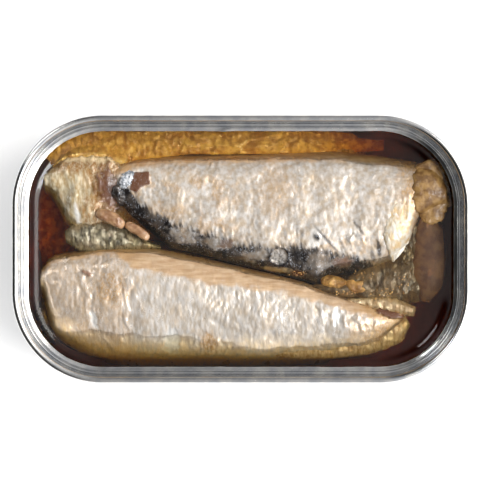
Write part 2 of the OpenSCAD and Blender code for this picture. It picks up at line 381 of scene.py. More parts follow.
# %% [markdown]
# ## Lights and the room
# A big soft panel stands at the right. A small one above the right front corner adds crisp glints, and a
# weak one at the left behind the tin fills in. Metal needs something to mirror, so the room is bright on the
# right and dark on the left: the left side of the rim turns white and the right side dark.

# %% Lights and room
def soft_panel(name, place, size, power, colour=(1, 1, 1)):
    """A rectangular light that faces the tin. place is [towards +X, towards +Y, up], in metres."""
    light = bpy.data.lights.new(name, "AREA")
    light.shape, light.size, light.size_y = "RECTANGLE", size[0], size[1]
    light.energy, light.color = power, colour
    panel = bpy.data.objects.new(name, light)
    panel.location = place
    panel.rotation_euler = (-panel.location).to_track_quat("-Z", "Y").to_euler()
    bpy.context.collection.objects.link(panel)


soft_panel("panel_right", (0.95, 0.1, 0.75), (1.0, 1.3), 15.5, (1.0, 0.97, 0.93))
soft_panel("panel_small", (0.55, -0.3, 1.1), (0.3, 0.3), 3.5)
soft_panel("panel_behind", (-0.55, 0.55, 0.9), (0.35, 0.35), 2)

world = bpy.data.worlds.new("studio_room")
world.use_nodes = True
bpy.context.scene.world = world
room = Finish("studio_room", world.node_tree)
towards = room.add("TexCoord", None, None, "Generated")
right = room.add("SeparateXYZ", None, {"Vector": towards}, "X")
back = room.add("SeparateXYZ", None, {"Vector": towards}, "Y")
brightness = room.add("Clamp", None, {"Value": 0.42 + 1.3 * right - 0.15 * back, "Min": 0.02, "Max": 1.5})
background = world.node_tree.nodes["Background"]
room.feed(background.inputs["Strength"], brightness)
room.feed(background.inputs["Color"], (1, 1, 1))
bpy.context.scene.view_settings.view_transform = "Standard"
print("lights:", [light.name for light in bpy.data.lights])

# %% [markdown]
# ## The can and its rolled seam
# The can is drawn from one sheet, and the lid's edge is folded over it in a double seam. Both are profiles
# carried round a rounded rectangle. `round_rim` carries a list of points, given as distance in from the
# seam's outer edge and height, and stores how far along the rim and how far across the sheet each point
# lies, so that the finish can brush the metal along its rolling direction.

# %% Carry a profile round the tin
STRAIGHT_STEPS, CORNER_STEPS = 60, 40


def rim_path():
    """Places on a frame one corner radius inside the rim, each with its outward direction."""
    centre_x, centre_y = half_length - CORNER, half_width - CORNER
    stops = []
    for k, (sx, sy) in enumerate([(1, 1), (-1, 1), (-1, -1), (1, -1)]):
        for s in range(CORNER_STEPS):
            angle = (90 * k + 90 * s / CORNER_STEPS) * math.pi / 180
            stops.append((sx * centre_x, sy * centre_y, math.cos(angle), math.sin(angle)))
        next_x, next_y = [(-1, 1), (-1, -1), (1, -1), (1, 1)][k]
        angle = 90 * (k + 1) * math.pi / 180
        for s in range(STRAIGHT_STEPS):
            share = s / STRAIGHT_STEPS
            stops.append(((sx + (next_x - sx) * share) * centre_x, (sy + (next_y - sy) * share) * centre_y,
                          math.cos(angle), math.sin(angle)))
    return np.array(stops)


rim_stops = rim_path()
rim_edge = rim_stops[:, :2] + CORNER * rim_stops[:, 2:]
rim_run = np.concatenate([[0], np.cumsum(np.hypot(*(np.roll(rim_edge, -1, 0) - rim_edge).T))[:-1]])


def round_rim(name, profile, waver=None, capped=False):
    """A profile of [inset, height] points carried round the tin. Capped, its ends are closed with flats."""
    profile = np.array(profile, float)
    run = np.concatenate([[0], np.cumsum(np.hypot(*(profile[1:] - profile[:-1]).T))])
    inset = np.repeat(profile[None, :, 0], len(rim_stops), 0)
    height = np.repeat(profile[None, :, 1], len(rim_stops), 0)
    if waver is not None:
        inset, height = waver(inset, height, rim_run[:, None])
    reach = CORNER - inset
    points = np.stack([rim_stops[:, None, 0] + reach * rim_stops[:, None, 2],
                       rim_stops[:, None, 1] + reach * rim_stops[:, None, 3], height], axis=-1)
    along = np.repeat(rim_run[:, None], len(profile), 1)
    across = np.repeat(run[None, :], len(rim_stops), 0)
    faces = grid_faces(len(rim_stops), len(profile), True, not capped)[:, ::-1].tolist()
    if capped:
        first = np.arange(len(rim_stops)) * len(profile)
        faces += [first[::-1], first + len(profile) - 1]
    inside = (np.arange(len(profile)) >= len(profile) // 2) + 0 * along
    return mesh_piece(name, points, faces, {"inside": inside},
                      {"sheet_mm": np.stack([along, across, 0 * along], axis=-1)})


def arc(centre, radius, start, end, steps=10):
    """Points on an arc between two angles in degrees."""
    angles = np.radians(np.linspace(start, end, steps + 1))
    return [(centre[0] + radius * math.cos(a), centre[1] + radius * math.sin(a)) for a in angles]


print("rim length", round(rim_run[-1]), "mm")

# %% [markdown]
# ## Sheet metal
# Both parts are sheet of one thickness that was rolled and bent. It could be modelled as two skins drawn by
# hand, but then the thickness would drift. Here only one side is drawn as a path, and the other side is
# that path moved over by the gauge, so every bend keeps its thickness.

# %% Sheet metal from a path
def sheet_profile(path, gauge):
    """A closed profile of sheet metal that lies on the left of a path."""
    path = np.array(path, float)
    runs = path[1:] - path[:-1]
    runs /= np.hypot(*runs.T)[:, None]
    left = np.stack([-runs[:, 1], runs[:, 0]], axis=-1)
    before, after = np.vstack([left[:1], left]), np.vstack([left, left[-1:]])
    middle = before + after
    middle /= np.hypot(*middle.T)[:, None]
    middle /= np.sum(middle * before, axis=1)[:, None]
    return np.vstack([path, (path + gauge * middle)[::-1]])


print("sheet gauges:", CAN_GAUGE, "and", LID_GAUGE, "mm")

# %% [markdown]
# ## The drawn can
# A press draws the can from one disc, so its wall runs into its floor in a round foot without any seam. The
# path goes from the floor round the foot and up the wall to the seam. Only the floor's edge follows the
# path. The flat middle of the floor is one face that closes the ends.

# %% The drawn can
FOOT_RADIUS = 2.4
FOOT_SPAN = 4
CAN_FOLD = 1.0
foot_x = can_outside + FOOT_RADIUS
wall_heights = np.linspace(FOOT_RADIUS + 1, rim_z - CAN_FOLD, 18)
can_path = ([(foot_x + FOOT_SPAN, 0)] + arc((foot_x, FOOT_RADIUS), FOOT_RADIUS, 270, 180, 12)
            + [(can_outside, z) for z in wall_heights])
can_profile = sheet_profile(can_path, -CAN_GAUGE)
can = round_rim("can", can_profile, capped=True)
print("can profile points:", len(can_profile))

# %% [markdown]
# ## What is left of the lid
# Pulling the tab tore the lid along its score line. What stays is the rolled seam, its inner wall, a groove
# and a narrow strip of panel. The path starts at the torn edge and ends in the hook outside. Metal never
# tears cleanly, so `torn` moves the strip up and down and makes its edge uneven.

# %% What is left of the lid
GROOVE_DEPTH = 3.7
GROOVE_WIDTH = 0.8
WALL_LEAN = 0.4
PANEL_RISE = 0.5
LEDGE_WIDTH = 1.0
SEAM_HEIGHT = 3.0
EDGE_ROUND = 0.02
PULL_START = 3.8  # how far past a far corner the pull began
seam_radius = chuck_inside / 2
groove_out, groove_in = chuck_inside + WALL_LEAN, chuck_inside + WALL_LEAN + GROOVE_WIDTH
ledge_in = groove_in + LEDGE_WIDTH
panel_z = rim_z - GROOVE_DEPTH + PANEL_RISE
lid_bend = (2 * LID_GAUGE + CAN_GAUGE + 2 * SEAM_PLAY) / 2
hook_z = rim_z - SEAM_HEIGHT + lid_bend
lid_path = (
    [(ledge_in, panel_z - EDGE_ROUND), (ledge_in - 3 * EDGE_ROUND, panel_z + EDGE_ROUND)]
    + [(s, panel_z) for s in np.linspace(ledge_in - 0.2, groove_in, 6)]
    + arc((groove_out + GROOVE_WIDTH / 2, panel_z), GROOVE_WIDTH / 2, 340, 200, 10)
    + [(groove_out + (chuck_inside - groove_out) * t, panel_z + (rim_z - seam_radius - panel_z) * t)
       for t in np.linspace(0.08, 0.9, 8)]
    + arc((seam_radius, rim_z - seam_radius), seam_radius, 0, 180, 22)
    + [(0, z) for z in np.linspace(rim_z - seam_radius - 0.3, hook_z + 0.1, 5)]
    + arc((lid_bend, hook_z), lid_bend, 180, 330, 10))
lid_profile = sheet_profile(lid_path, LID_GAUGE)
tear_start = math.pi / 2 * CORNER + half_length - CORNER + PULL_START


def torn(inset, height, run):
    """The score line tears unevenly, and the pull bends the strip of panel up and down. Where it began
    there is a small burr, and beside it the strip has a crease."""
    edge = step(inset, ledge_in - 0.5, ledge_in)
    strip = step(inset, groove_in, ledge_in)
    burr = np.exp(-((run - tear_start) / 0.45) ** 2)
    creased = step(run, tear_start, tear_start - 0.8) * step(run, tear_start - 45, tear_start - 30)
    nicks = 0.05 * rough(run / 1.5, run * 0 + 3.3, 5) + 0.05 * rough(run / 9, run * 0, 6)
    waves = 0.1 * rough(run / 14, run * 0 + 1.7, 8) + 0.04 * rough(run / 2.5, run * 0, 9)
    inset = inset + edge * (0.45 * burr + nicks)
    height = height + strip * (0.5 * burr + 0.9 * (1 - strip) * creased - 0.28 - waves)
    return inset, height


lid = round_rim("torn_lid", lid_profile, torn)
print("lid profile points:", len(lid_profile), "ledge ends", round(ledge_in, 2), "mm in")

# %% [markdown]
# ## Metal finishes
# Bare tin plate is almost a mirror. What tells the eye that it is rolled and handled is a faint grain along
# the rolling direction, finer scratches across it, and cloudy smears of oil that change its tone and
# roughness. The can's inside is lacquered. Where oil covers it, it doesn't mirror anything: it is dark on
# the wall, as painted shade in the deep oil along the walls, and light on the floor, so that deep oil stays
# brown and the floor can glow through it.

# %% Rolled metal
def rolled_metal(name):
    """A finish with its grain along the sheet, its scratches across it and its smears."""
    finish = Finish(name)
    sheet = finish.place("sheet_mm")
    grain = finish.noise(finish.stretch(sheet, 0.05, 9, 1), 1.0, 4)
    across = finish.noise(finish.stretch(sheet, 7, 0.6, 1), 1.0, 3)
    smears = finish.noise(finish.place(), 0.35, 3)
    return finish, grain, across, smears


metal, grain, scratches, smears = rolled_metal("rolled_lid_metal")
lid_tone = metal.blend(smears.between(0.3, 0.7), (0.56, 0.57, 0.59), (0.72, 0.71, 0.69))
lid_metal = metal.surface(
    Base_Color=lid_tone, Metallic=1.0, Roughness=0.08 + smears * 0.14 + grain * 0.06,
    Normal=metal.bump(grain * 0.7 + scratches * 0.3, 0.03 * MM, 0.7))
finish_piece(lid, lid_metal, "lid_metal", ["lid_ring"])

WET_UP_TO, DRY_FROM = 17.2, 17.8
metal, grain, scratches, smears = rolled_metal("drawn_can_metal")
height = metal.add("SeparateXYZ", None, {"Vector": metal.place()}, "Z")
# Light on the floor and near black up the wall, darkest from 9 to 14 mm up: the dark wall is painted shade
# in the deep oil along the walls.
lacquer_and_wall_shade = metal.blend(height.between(0.35, 1.2), (0.95, 0.85, 0.5), (0.05, 0.06, 0.03))
lacquer_and_wall_shade = metal.blend(height.between(9, 14), lacquer_and_wall_shade, (0.03, 0.035, 0.02))
lacquer_and_wall_shade = metal.blend(height.between(WET_UP_TO, DRY_FROM), lacquer_and_wall_shade, (0.20, 0.19, 0.17))
outside = metal.blend(smears.between(0.3, 0.7), (0.30, 0.31, 0.33), (0.35, 0.36, 0.375))
in_oil = metal.mask("inside") * (1 - height.between(WET_UP_TO, DRY_FROM))
can_metal = metal.surface(
    Base_Color=metal.blend(metal.mask("inside"), outside, lacquer_and_wall_shade), Metallic=1 - in_oil,
    Roughness=0.2 + smears * 0.14 + scratches * 0.06, Normal=metal.bump(scratches, 0.03 * MM, 0.6))
finish_piece(can, can_metal, "can_metal", ["tin_body"])

# %% [markdown]
# ## How a sardine lies
# Each fish is a row of cross-sections between its two outlines, just as in the CAD model, only much finer.
# A section's upper half swells from both sides to a ridge. Its height above any point of the table can be
# asked for on its own, which is how the oil later finds the waterline. A row of an outline says where it
# is, where the near and the far side are, all in percent of half the can's inside, and how many millimetres
# the ridge stands over the oil.

# %% Sardine outlines
FISH_FULLNESS, FLANK_FULLNESS, FLANK_MID, RIDGE_LEAN = 2.5, 1.8, 9.2, 0.3
UPPER_MID, LOWER_MID, KEEL = 12.6, 6.0, 4.5
FOOD_GAP = 0.3

FRONT_ROWS = np.array([
    [-89, -40, -13, 1.2], [-87, -58, -8, 1.6], [-84, -70, -5, 1.9], [-77, -80, -2, 2.2],
    [-68, -88, 1, 2.3], [-58, -92, 3.5, 2.4], [-34, -93, -0.5, 2.4], [0, -93, -14, 2.4],
    [30, -92, -27, 2.3], [50, -89, -40, 2], [58, -85, -44, 1.6], [66, -77, -45, 1],
    [71, -66, -47, 0.5], [73.5, -59, -51, 0]])
BACK_ROWS = np.array([
    [-55.5, 40, 64, 1.3], [-50, 27, 68.5, 1.8], [-38, 9, 72, 2.2], [-28, -6, 73.5, 2.4],
    [0, -18, 74.5, 2.4], [30, -32, 76, 2.4], [38, -24, 76.5, 2.4], [46, -20, 76, 2.3],
    [54, -18, 74.5, 2.3], [63, -14, 73, 2.3], [70, -9, 71, 2.2], [76, 2, 69.5, 2],
    [80, 20, 68, 1.8], [87, 29, 64, 1.5], [92.5, 34, 52, 1]])
UNDER_FRONT_ROWS = np.array([
    [-92, -58, -42, -5], [-90, -68, -34, -4.5], [-85, -76, -26, -5.5], [-75, -84, -16, -7],
    [-55, -88, -9, -7.5], [0, -88, -8, -7.5], [30, -82, -8, -6], [45, -70, -7, -3.6],
    [58, -58, -6, -2.5], [70, -50, -7, -2.3], [76, -45, -10, -2.6], [79, -40, -14, -3.5]])
UNDER_BACK_ROWS = np.array([
    [-87.5, 42, 65, -0.6], [-84, 33, 73, 0.2], [-79.5, 19, 83, 0.6], [-73.5, 8.5, 90, 0.8],
    [-63, 5.5, 93, 0.4], [-53.5, 6.5, 94, -0.8], [-42, 6, 94, -2.6], [-23, 5, 94, -3],
    [19, 8, 94, -3], [44, 16, 92, -3.2], [51, 26, 88, -5], [57, 42, 78, -9.2]])


def smooth_at(rows, column, x):
    """A smooth curve through one column of the rows, at any places x."""
    at, values = rows[:, 0], rows[:, column]
    last = len(at) - 1
    slopes = np.array([(values[min(i + 1, last)] - values[max(i - 1, 0)])
                       / (at[min(i + 1, last)] - at[max(i - 1, 0)]) for i in range(last + 1)])
    i = np.clip(np.searchsorted(at, x, side="right") - 1, 0, last - 1)
    h = at[i + 1] - at[i]
    t = np.clip((x - at[i]) / h, 0, 1)
    return ((1 + 2 * t) * (1 - t) ** 2 * values[i] + t * (1 - t) ** 2 * h * slopes[i]
            + t * t * (3 - 2 * t) * values[i + 1] + t * t * (t - 1) * h * slopes[i + 1])


outlines = (FRONT_ROWS, BACK_ROWS, UNDER_FRONT_ROWS, UNDER_BACK_ROWS)
print("rows in each outline:", [len(rows) for rows in outlines])

# %% [markdown]
# ## The upper side of a fish
# A fish is more than an outline: it has a side where it is widest, and a ridge that may lean. A class keeps
# these together, so that skin, oil and loose flakes can all ask one fish how high it is at any place. Two
# fish are pushed out of shape by their neighbours, mostly under the oil.

# %% Four sardines
class Sardine:
    """One fish. In `sides` and `crown`, x is in percent, and all else is in millimetres."""

    def __init__(self, rows, mid, low_flank=None, beside_front=False, upper=False, bulge=None):
        self.rows, self.mid, self.beside_front, self.upper = rows, mid, beside_front, upper
        self.bulge = bulge or (lambda x, y: 0 * x * y)
        self.low_mid, self.low_fullness, self.lean = low_flank or (mid, FISH_FULLNESS, 0)

    def sides(self, x):
        low, high = (inside_y / 100 * smooth_at(self.rows, c, x) for c in (1, 2))
        if self.beside_front:
            wall = inside_y / 100 * smooth_at(FRONT_ROWS, 2, x) + FOOD_GAP
            low = np.where(x > FRONT_ROWS[-1, 0] + 1, low, np.maximum(low, wall))
        return low, high

    def crown(self, x):
        return oil_z + smooth_at(self.rows, 3, x)

    def top(self, x_mm, y_mm, bulged=True):
        """Height of the fish's upper side, or -99 where it isn't."""
        x = x_mm * 100 / inside_x
        low, high = self.sides(x)
        ridge = (low + high) / 2 + self.lean * (high - low) / 2
        far = y_mm > ridge
        t = np.abs(y_mm - ridge) / np.where(far, high - ridge, ridge - low)
        fullness = np.where(far, FISH_FULLNESS, self.low_fullness)
        side = np.where(far, self.mid, self.low_mid)
        swell = np.maximum(1 - np.minimum(t, 1) ** fullness, 0) ** (1 / fullness)
        height = side + (self.crown(x) - side) * swell + self.bulge(x_mm, y_mm) * swell * bulged
        return np.where((t <= 1) & (x >= self.rows[0, 0]) & (x <= self.rows[-1, 0]), height, -99)


SLUMP = 2.2
SQUASH_AT_WALL, SQUASH_IN_FRONT = 1.3, 2.2


def slumped(x, y):
    """The front sardine's belly side has slumped out a little."""
    from_belly = y - inside_y / 100 * smooth_at(FRONT_ROWS, 1, x * 100 / inside_x)
    return SLUMP * step(from_belly, 8, 2.5) * step(y, -15, -19) * step(x, 26, 4)


front = Sardine(FRONT_ROWS, UPPER_MID, (FLANK_MID, FLANK_FULLNESS, RIDGE_LEAN), upper=True, bulge=slumped)
back = Sardine(BACK_ROWS, UPPER_MID, beside_front=True, upper=True)
under_front = Sardine(UNDER_FRONT_ROWS, LOWER_MID)


def squashed(x, y):
    """The lower back sardine is squashed up against the back wall and in front of the upper one."""
    at_wall = step(y, 12, 16) * step(y, 23.5, 19.5) * step(x, -22, -32)
    in_front = step(np.hypot((x + 37) / 10, (y - 5) / 8), 1.2, 0.2)
    return SQUASH_AT_WALL * at_wall + SQUASH_IN_FRONT * in_front


under_back = Sardine(UNDER_BACK_ROWS, LOWER_MID, beside_front=True, bulge=squashed)
print("front sardine's crown at the middle:", round(float(front.crown(np.array([0.0]))[0]), 2), "mm")

# %% [markdown]
# ## Sections along a fish
# The CAD fish ends in flat cuts. Here the last millimetre of each end turns round into the cut, so sections
# crowd there. An upper fish also rests on the pile below it: its underside is never lower than whatever
# carries it.

# %% Sections of a sardine
def pile_under(x, y):
    """The height of whatever carries an upper fish."""
    lower_fish = [fish.top(x, y, False) for fish in (under_front, under_back)]
    return np.maximum.reduce(lower_fish + [CAN_GAUGE + 0 * x * y]) + FOOD_GAP


HEAD_EXTRA = 0.9  # the rounded end bulges past the flat cut of the CAD fish
LEAST_SWELL = 0.8


def fish_sections(fish, x_step, end_turn):
    """Places along the fish, how far each section draws in there, and how far it shrinks to its middle."""
    first = fish.rows[0, 0] * inside_x / 100 - HEAD_EXTRA
    last = fish.rows[-1, 0] * inside_x / 100
    turns = np.radians(np.linspace(0, 90, 8)[:-1])
    end_x, end_inset = end_turn * (1 - np.cos(turns)), end_turn * (1 - np.sin(turns))
    middle = np.arange(first + end_turn, last - end_turn, x_step)
    shrink = np.array([0.1, 0.45, 0.75])
    x = np.concatenate([first + 0 * shrink, first + end_x, middle, last - end_x[::-1], last - 0 * shrink])
    flat_end = end_turn + 0 * shrink
    inset = np.concatenate([flat_end, end_inset, 0 * middle, end_inset[::-1], flat_end])
    share = np.concatenate([shrink, 1 + 0 * end_x, 1 + 0 * middle, 1 + 0 * end_x, shrink[::-1]])
    return x[:, None], inset[:, None], share[:, None]


pile_height = pile_under(np.array([0.0]), np.array([-10.0]))[0]
print("the lower fish carry the front sardine", round(float(pile_height), 2), "mm above the table")

# %% [markdown]
# ## A fish as a fine grid
# Each section runs once round the fish, with far more points on its upper side than below. Its wrinkles
# could be left to a bump map, but they are pushed out of the grid for real, so that they catch the light,
# cast small shadows and let oil stand between them.

# %% Build a sardine
def fish_grid(fish, x_step, top_columns, under_columns, end_turn):
    """Points in rows across the fish, and how near each one is to the ridge: 0 low down and 1 on it."""
    x, inset, share = fish_sections(fish, x_step, end_turn)
    low, high = fish.sides(x * 100 / inside_x)
    low, high, crown = low + inset, high - inset, fish.crown(x * 100 / inside_x) - inset
    ridge = (low + high) / 2 + fish.lean * (high - low) / 2
    turn = np.concatenate([np.linspace(0, np.pi, top_columns, endpoint=False),
                           np.linspace(np.pi, 2 * np.pi, under_columns, endpoint=False)])[None, :]
    far = np.cos(turn) >= 0
    fullness = np.where(far, FISH_FULLNESS, fish.low_fullness)
    side = np.where(far, fish.mid, fish.low_mid)
    reach = np.abs(np.cos(turn)) ** (2 / fullness)
    lift = np.abs(np.sin(turn)) ** (2 / fullness)
    y = ridge + np.where(far, high - ridge, low - ridge) * reach
    rest = pile_under(x, y) if fish.upper else CAN_GAUGE + FOOD_GAP + 0 * y
    side = np.minimum(np.maximum(side, rest), crown - LEAST_SWELL)
    keel = (KEEL if fish.upper else CAN_GAUGE + FOOD_GAP) + 2 * inset
    above = np.sin(turn) >= 0
    z = np.where(above, side + (crown - side) * lift, np.maximum(side - (side - keel) * lift, rest + inset))
    middle_y, middle_z = (low + high) / 2, side.mean(axis=1, keepdims=True) - 0.3
    y, z = middle_y + (y - middle_y) * share, middle_z + (z - middle_z) * share
    upper_share = np.where(above, lift, 0) * share
    z = z + fish.bulge(x, y) * upper_share
    return np.stack([x + 0 * y, y, z], axis=-1), upper_share


def outward(grid):
    """Unit directions that point out of a grid, from its neighbours on all sides."""
    along = np.gradient(grid, axis=0)
    round_it = np.roll(grid, -1, 1) - np.roll(grid, 1, 1)
    normal = np.cross(round_it, along)
    normal[..., 2] += 1e-9
    return -normal / np.linalg.norm(normal, axis=-1, keepdims=True)


TOP_COLUMNS, UNDER_COLUMNS = 130, 16


def build_fish(name, fish, skin, x_step=0.25, top_columns=TOP_COLUMNS, under_columns=UNDER_COLUMNS,
               end_turn=1.2):
    """skin gives wrinkle heights in millimetres and the masks of the finish, for places on the table."""
    grid, upper_share = fish_grid(fish, x_step, top_columns, under_columns, end_turn)
    wrinkles, masks = skin(grid[..., 0], grid[..., 1])
    grid = grid + outward(grid) * (wrinkles * step(upper_share, 0, 0.5))[..., None]
    return closed_piece(name, grid, tube_faces(*grid.shape[:2]), masks)


print("points round an upper fish:", TOP_COLUMNS + UNDER_COLUMNS)

# %% [markdown]
# ## Wrinkles and stains
# Cooked skin shrinks and wrinkles across the fish. `creases` gives sharp-topped ridges of a given spacing,
# length and lean. Stains are ragged ellipses, listed as marks: strength, middle, half sizes, turn in
# degrees, seed, raggedness and softness. It could all be painted by hand, but marks are easier to move.

# %% Wrinkle and stain tools
def creases(x, y, lean, spacing, length, seed):
    """Ridges from -1 to 1 that lie across the fish, leaning by some degrees to the left at the top."""
    turn = math.radians(lean)
    across, along = x * math.cos(turn) + y * math.sin(turn), y * math.cos(turn) - x * math.sin(turn)
    across = across + 0.4 * spacing * rough(x / 3, y / 3, seed + 5) + 1.3 * rough(x / 8, y / 8, seed + 6)
    return 1 - 2.2 * np.abs(noise(across / spacing, along / length, seed))


def stain(x, y, centre, size, turn=0.0, seed=1, ragged=0.35, soft=0.25):
    """1 inside a ragged ellipse with the given half sizes, 0 outside."""
    angle = math.radians(turn)
    dx, dy = x - centre[0], y - centre[1]
    u, v = dx * math.cos(angle) + dy * math.sin(angle), dy * math.cos(angle) - dx * math.sin(angle)
    reach = np.hypot(u / size[0], v / size[1]) + ragged * rough(x / 1.1, y / 1.1, seed)
    return step(reach, 1 + soft, 1 - soft)


def stains(x, y, marks):
    """The strongest of several stains. Each mark is its strength, followed by what `stain` asks for."""
    return np.maximum.reduce([strength * stain(x, y, *mark) for strength, *mark in marks])


def bare(x, y, corners, seed=1, ragged=0.25):
    """1 inside an outline with a ragged edge, 0 outside."""
    return step(inside_shape(x, y, corners, ragged, seed), -0.12, 0.12)


def skin_masks(x, **given):
    """All the masks that the skin finish asks for. One that isn't given is 0 everywhere."""
    return {name: given.get(name, 0 * x) for name in ("tan", "gold", "dark", "brown", "pale", "belly")}


print("fish tools ready")

# %% [markdown]
# ## The front sardine
# Its skin is the palest in the tin: silvery beige with crosswise wrinkles. A band along its back has lost
# the silver and shows tan, and its belly side dips into the oil and turns golden. One function gives both
# the wrinkle heights and the masks, so that a stain and its relief always stay together.

# %% Front sardine
FRONT_GOLD = [(0.8, (-30.5, -9.5), (3.8, 4.2), 10, 40, 0.5, 0.5),
              (0.9, (-7.5, -22), (2, 2), 0, 41, 0.5, 0.5),
              (0.8, (35.5, -17.5), (2.6, 2.4), 0, 42, 0.5, 0.5),
              (0.6, (-37, -18), (2, 2.4), 0, 43, 0.5, 0.5)]
FRONT_BROWN = [(1, (35.2, -15.4), (3.1, 0.8), -14, 45, 0.4, 0.2),
               (0.8, (-36.3, -5.7), (1.2, 0.5), -20, 46, 0.5, 0.4)]
# These pale spots are painted highlights, also raised a little.
FRONT_HIGHLIGHTS = [(1, (-34.6, -16.8), (0.8, 1.9), 12, 47, 0.4, 0.4),
              (1, (22.6, -16.2), (0.9, 2), -4, 48, 0.3, 0.4),
              (1, (-16.3, -21.8), (1.8, 3), 0, 49, 0.4, 0.3)]


def front_skin(x, y):
    """The front sardine's wrinkle heights and masks."""
    share = x * 100 / inside_x
    from_back = inside_y / 100 * smooth_at(FRONT_ROWS, 2, share) - y
    from_belly = y - inside_y / 100 * smooth_at(FRONT_ROWS, 1, share)
    tan_width = np.interp(x, [-46, -30, -24, -10, 0, 20, 30], [1.6, 2.2, 6, 6, 4.6, 3.4, 2.6])
    tan = step(from_back + 0.8 * rough(x / 3, y / 1.5, 31), tan_width + 0.8, tan_width - 0.8)
    belly = step(from_belly + 1.6 * rough(x / 3, y / 2, 32), 8.5, 3.5)
    folds = np.interp(x, [-46, -36, -26, -23, -12, -6, 4, 9, 30], [1, 1, 0.7, 0.2, 0.2, 0.5, 0.5, 1, 1])
    waves = np.interp(x, [-46, -36, -26, -23, -12, -8, 5, 9, 30], [0.3, 0.5, 0.7, 0.3, 0.4, 1, 1, 0.5, 0.5])
    calm = (1 - 0.7 * tan) * (0.8 + 0.5 * rough(x / 4, y / 3, 37))
    long_ones = 0.13 * folds * creases(x, y, 4, 3.2, 9, 33) + 0.075 * waves * creases(x, y, -8, 1.15, 4, 34)
    fine_ones = 0.03 * creases(x, y, 22, 0.6, 2.4, 35) + 0.02 * creases(x, y, -34, 0.5, 1.5, 38)
    wrinkles = calm * (long_ones + fine_ones)
    wrinkles = wrinkles + 0.2 * rough(x / 8, y / 5, 36) + 0.05 * tan * rough(x / 6, y / 0.8, 39)
    gold = np.maximum.reduce([stains(x, y, FRONT_GOLD),
                              0.42 * step(x + 3 * rough(x / 3, y / 3, 79), -22, -30),
                              0.9 * step(x + 3 * rough(x / 3, y / 3, 44), 22, 34)])
    brown, pale = stains(x, y, FRONT_BROWN), stains(x, y, FRONT_HIGHLIGHTS)
    # Darker towards the tail end.
    tail_darkening = np.clip(0.16 * step(x, 14, 26) + 0.04 * rough(x / 3, y / 3, 30), 0, 1)
    wrinkles = wrinkles - 0.5 * brown + 0.12 * pale
    return wrinkles, skin_masks(x, tan=tan, gold=gold, dark=tail_darkening, brown=brown, pale=pale, belly=belly)


front_fish = build_fish("front_sardine", front, front_skin)

# %% [markdown]
# ## The back sardine
# It lies a little lower on its side, so its blue-black back faces the front sardine. The skin there is torn:
# a patch of brown flesh shows at the left, and a flap of bright skin hangs over the right end.

# %% Marks of the back sardine
DARK_EDGE = [(-31, 18), (-29, 16.5), (-24.5, 11.6), (-20, 8.4), (-15, 6), (-10, 4.2), (-5, 2.8), (0, 1.2),
             (7, 0.2), (13, 0.8), (17, 0.6), (21, 0), (25, -1.4), (29, -2.8), (33, -3.8)]
BARE_FLESH = [(-25.8, 17.9), (-21.6, 18.2), (-21.4, 15.2), (-23.4, 14.6), (-24.6, 13.1), (-26, 14)]
BARE_TRIANGLE = [(15.2, 0.2), (17.5, 0.4), (20.5, 1.6), (18.4, 5), (16.6, 4.6)]
# These lighter patches in the dark back are painted glints.
GLINTS_IN_DARK = [(1, (-13.6, 3.4), (3.2, 1.5), -12, 46, 0.6, 0.5),
                  (1, (-6.2, 1.4), (2.4, 1.5), 0, 45, 0.6, 0.5),
                  (1, (3.5, -1.6), (3, 1.4), 0, 44, 0.6, 0.5),
                  (0.5, (18.5, -3.4), (3.2, 2.2), 0, 43, 0.6, 0.5)]
BROWN_HOLE = ((-3.4, 1.1), (1.9, 1.1), 10, 67, 0.4, 0.3)
BACK_BROWN = [(0.7, *BROWN_HOLE),
              (1, (13.4, -5.8), (1.6, 0.8), -10, 68, 0.3, 0.3),
              (0.8, (23.8, -3.2), (2.3, 1.2), 0, 69, 0.4, 0.3)]
DARK_LINES = [(0.8, (20.3, 2), (4.2, 0.35), -48, 70, 0.2, 0.5),
              (0.9, (32.4, 0.2), (0.5, 2.2), 8, 71, 0.2, 0.4),
              (0.6, (27.6, 5), (0.35, 2.4), 38, 29, 0.3, 0.5),
              (0.5, (24, 0.6), (0.3, 2), 24, 28, 0.3, 0.5),
              (0.7, (31, -1.6), (0.5, 1.4), 10, 72, 0.2, 0.4)]
BACK_PALE = [(0.2, (22.5, 2.5), (1.8, 3.4), 20, 73, 0.4, 0.5),
             (0.3, (26.5, 3.2), (1.4, 2.2), 20, 74, 0.4, 0.5)]
print("marks:", sum(map(len, (GLINTS_IN_DARK, BACK_BROWN, DARK_LINES, BACK_PALE))))

# %% [markdown]
# ## Skin of the back sardine
# Its wrinkles change along the fish: short and dappled at the left, longer and smoother at the right, with
# two spots that go their own way. The dark back is everything below one edge line, brushed by noise and
# broken where the skin is torn and round a small eye-like spot. Its holes are pressed in and painted dark,
# and dark lines are drawn along folds: both are painted shade.

# %% Back sardine
def back_wrinkles(x, y):
    """Wrinkle heights before the holes and tears."""
    left = step(x, 4, -4)
    low_half = step(y, 9, 5)
    patchy = 0.8 + 0.6 * rough(x / 5, y / 4, 50)
    dapple = (0.02 + 0.05 * left + 0.03 * low_half) * creases(x, y, -22, 1.25, 4.5, 54)
    fine_ones = 0.028 * creases(x, y, 28, 0.7, 1.6, 55) + 0.05 * creases(x, y, 4, 3.0, 8, 56)
    long_ones = 0.04 * creases(x, y, 8, 1.7, 7, 41) + 0.02 * creases(x, y, -14, 0.9, 4, 40)
    wrinkles = patchy * (dapple + fine_ones + (1 - left) * long_ones)
    swirl = stain(x, y, (27.5, 14.5), (5, 4), 0, 48, 0.3, 0.5)
    rings = np.cos(np.hypot((x - 27.5) / 1.2, y - 14.5) * 2.6 + 2 * rough(x / 4, y / 4, 49))
    wrinkles = wrinkles * (1 - 0.5 * swirl) + 0.05 * swirl * rings + 0.22 * rough(x / 8, y / 5, 57)
    wavy = stain(x, y, (34.5, 15.5), (5, 3.6), 0, 58, 0.3, 0.4)
    return wrinkles * (1 - 0.7 * wavy) + 0.1 * wavy * creases(y, x, 0, 0.55, 3, 59)


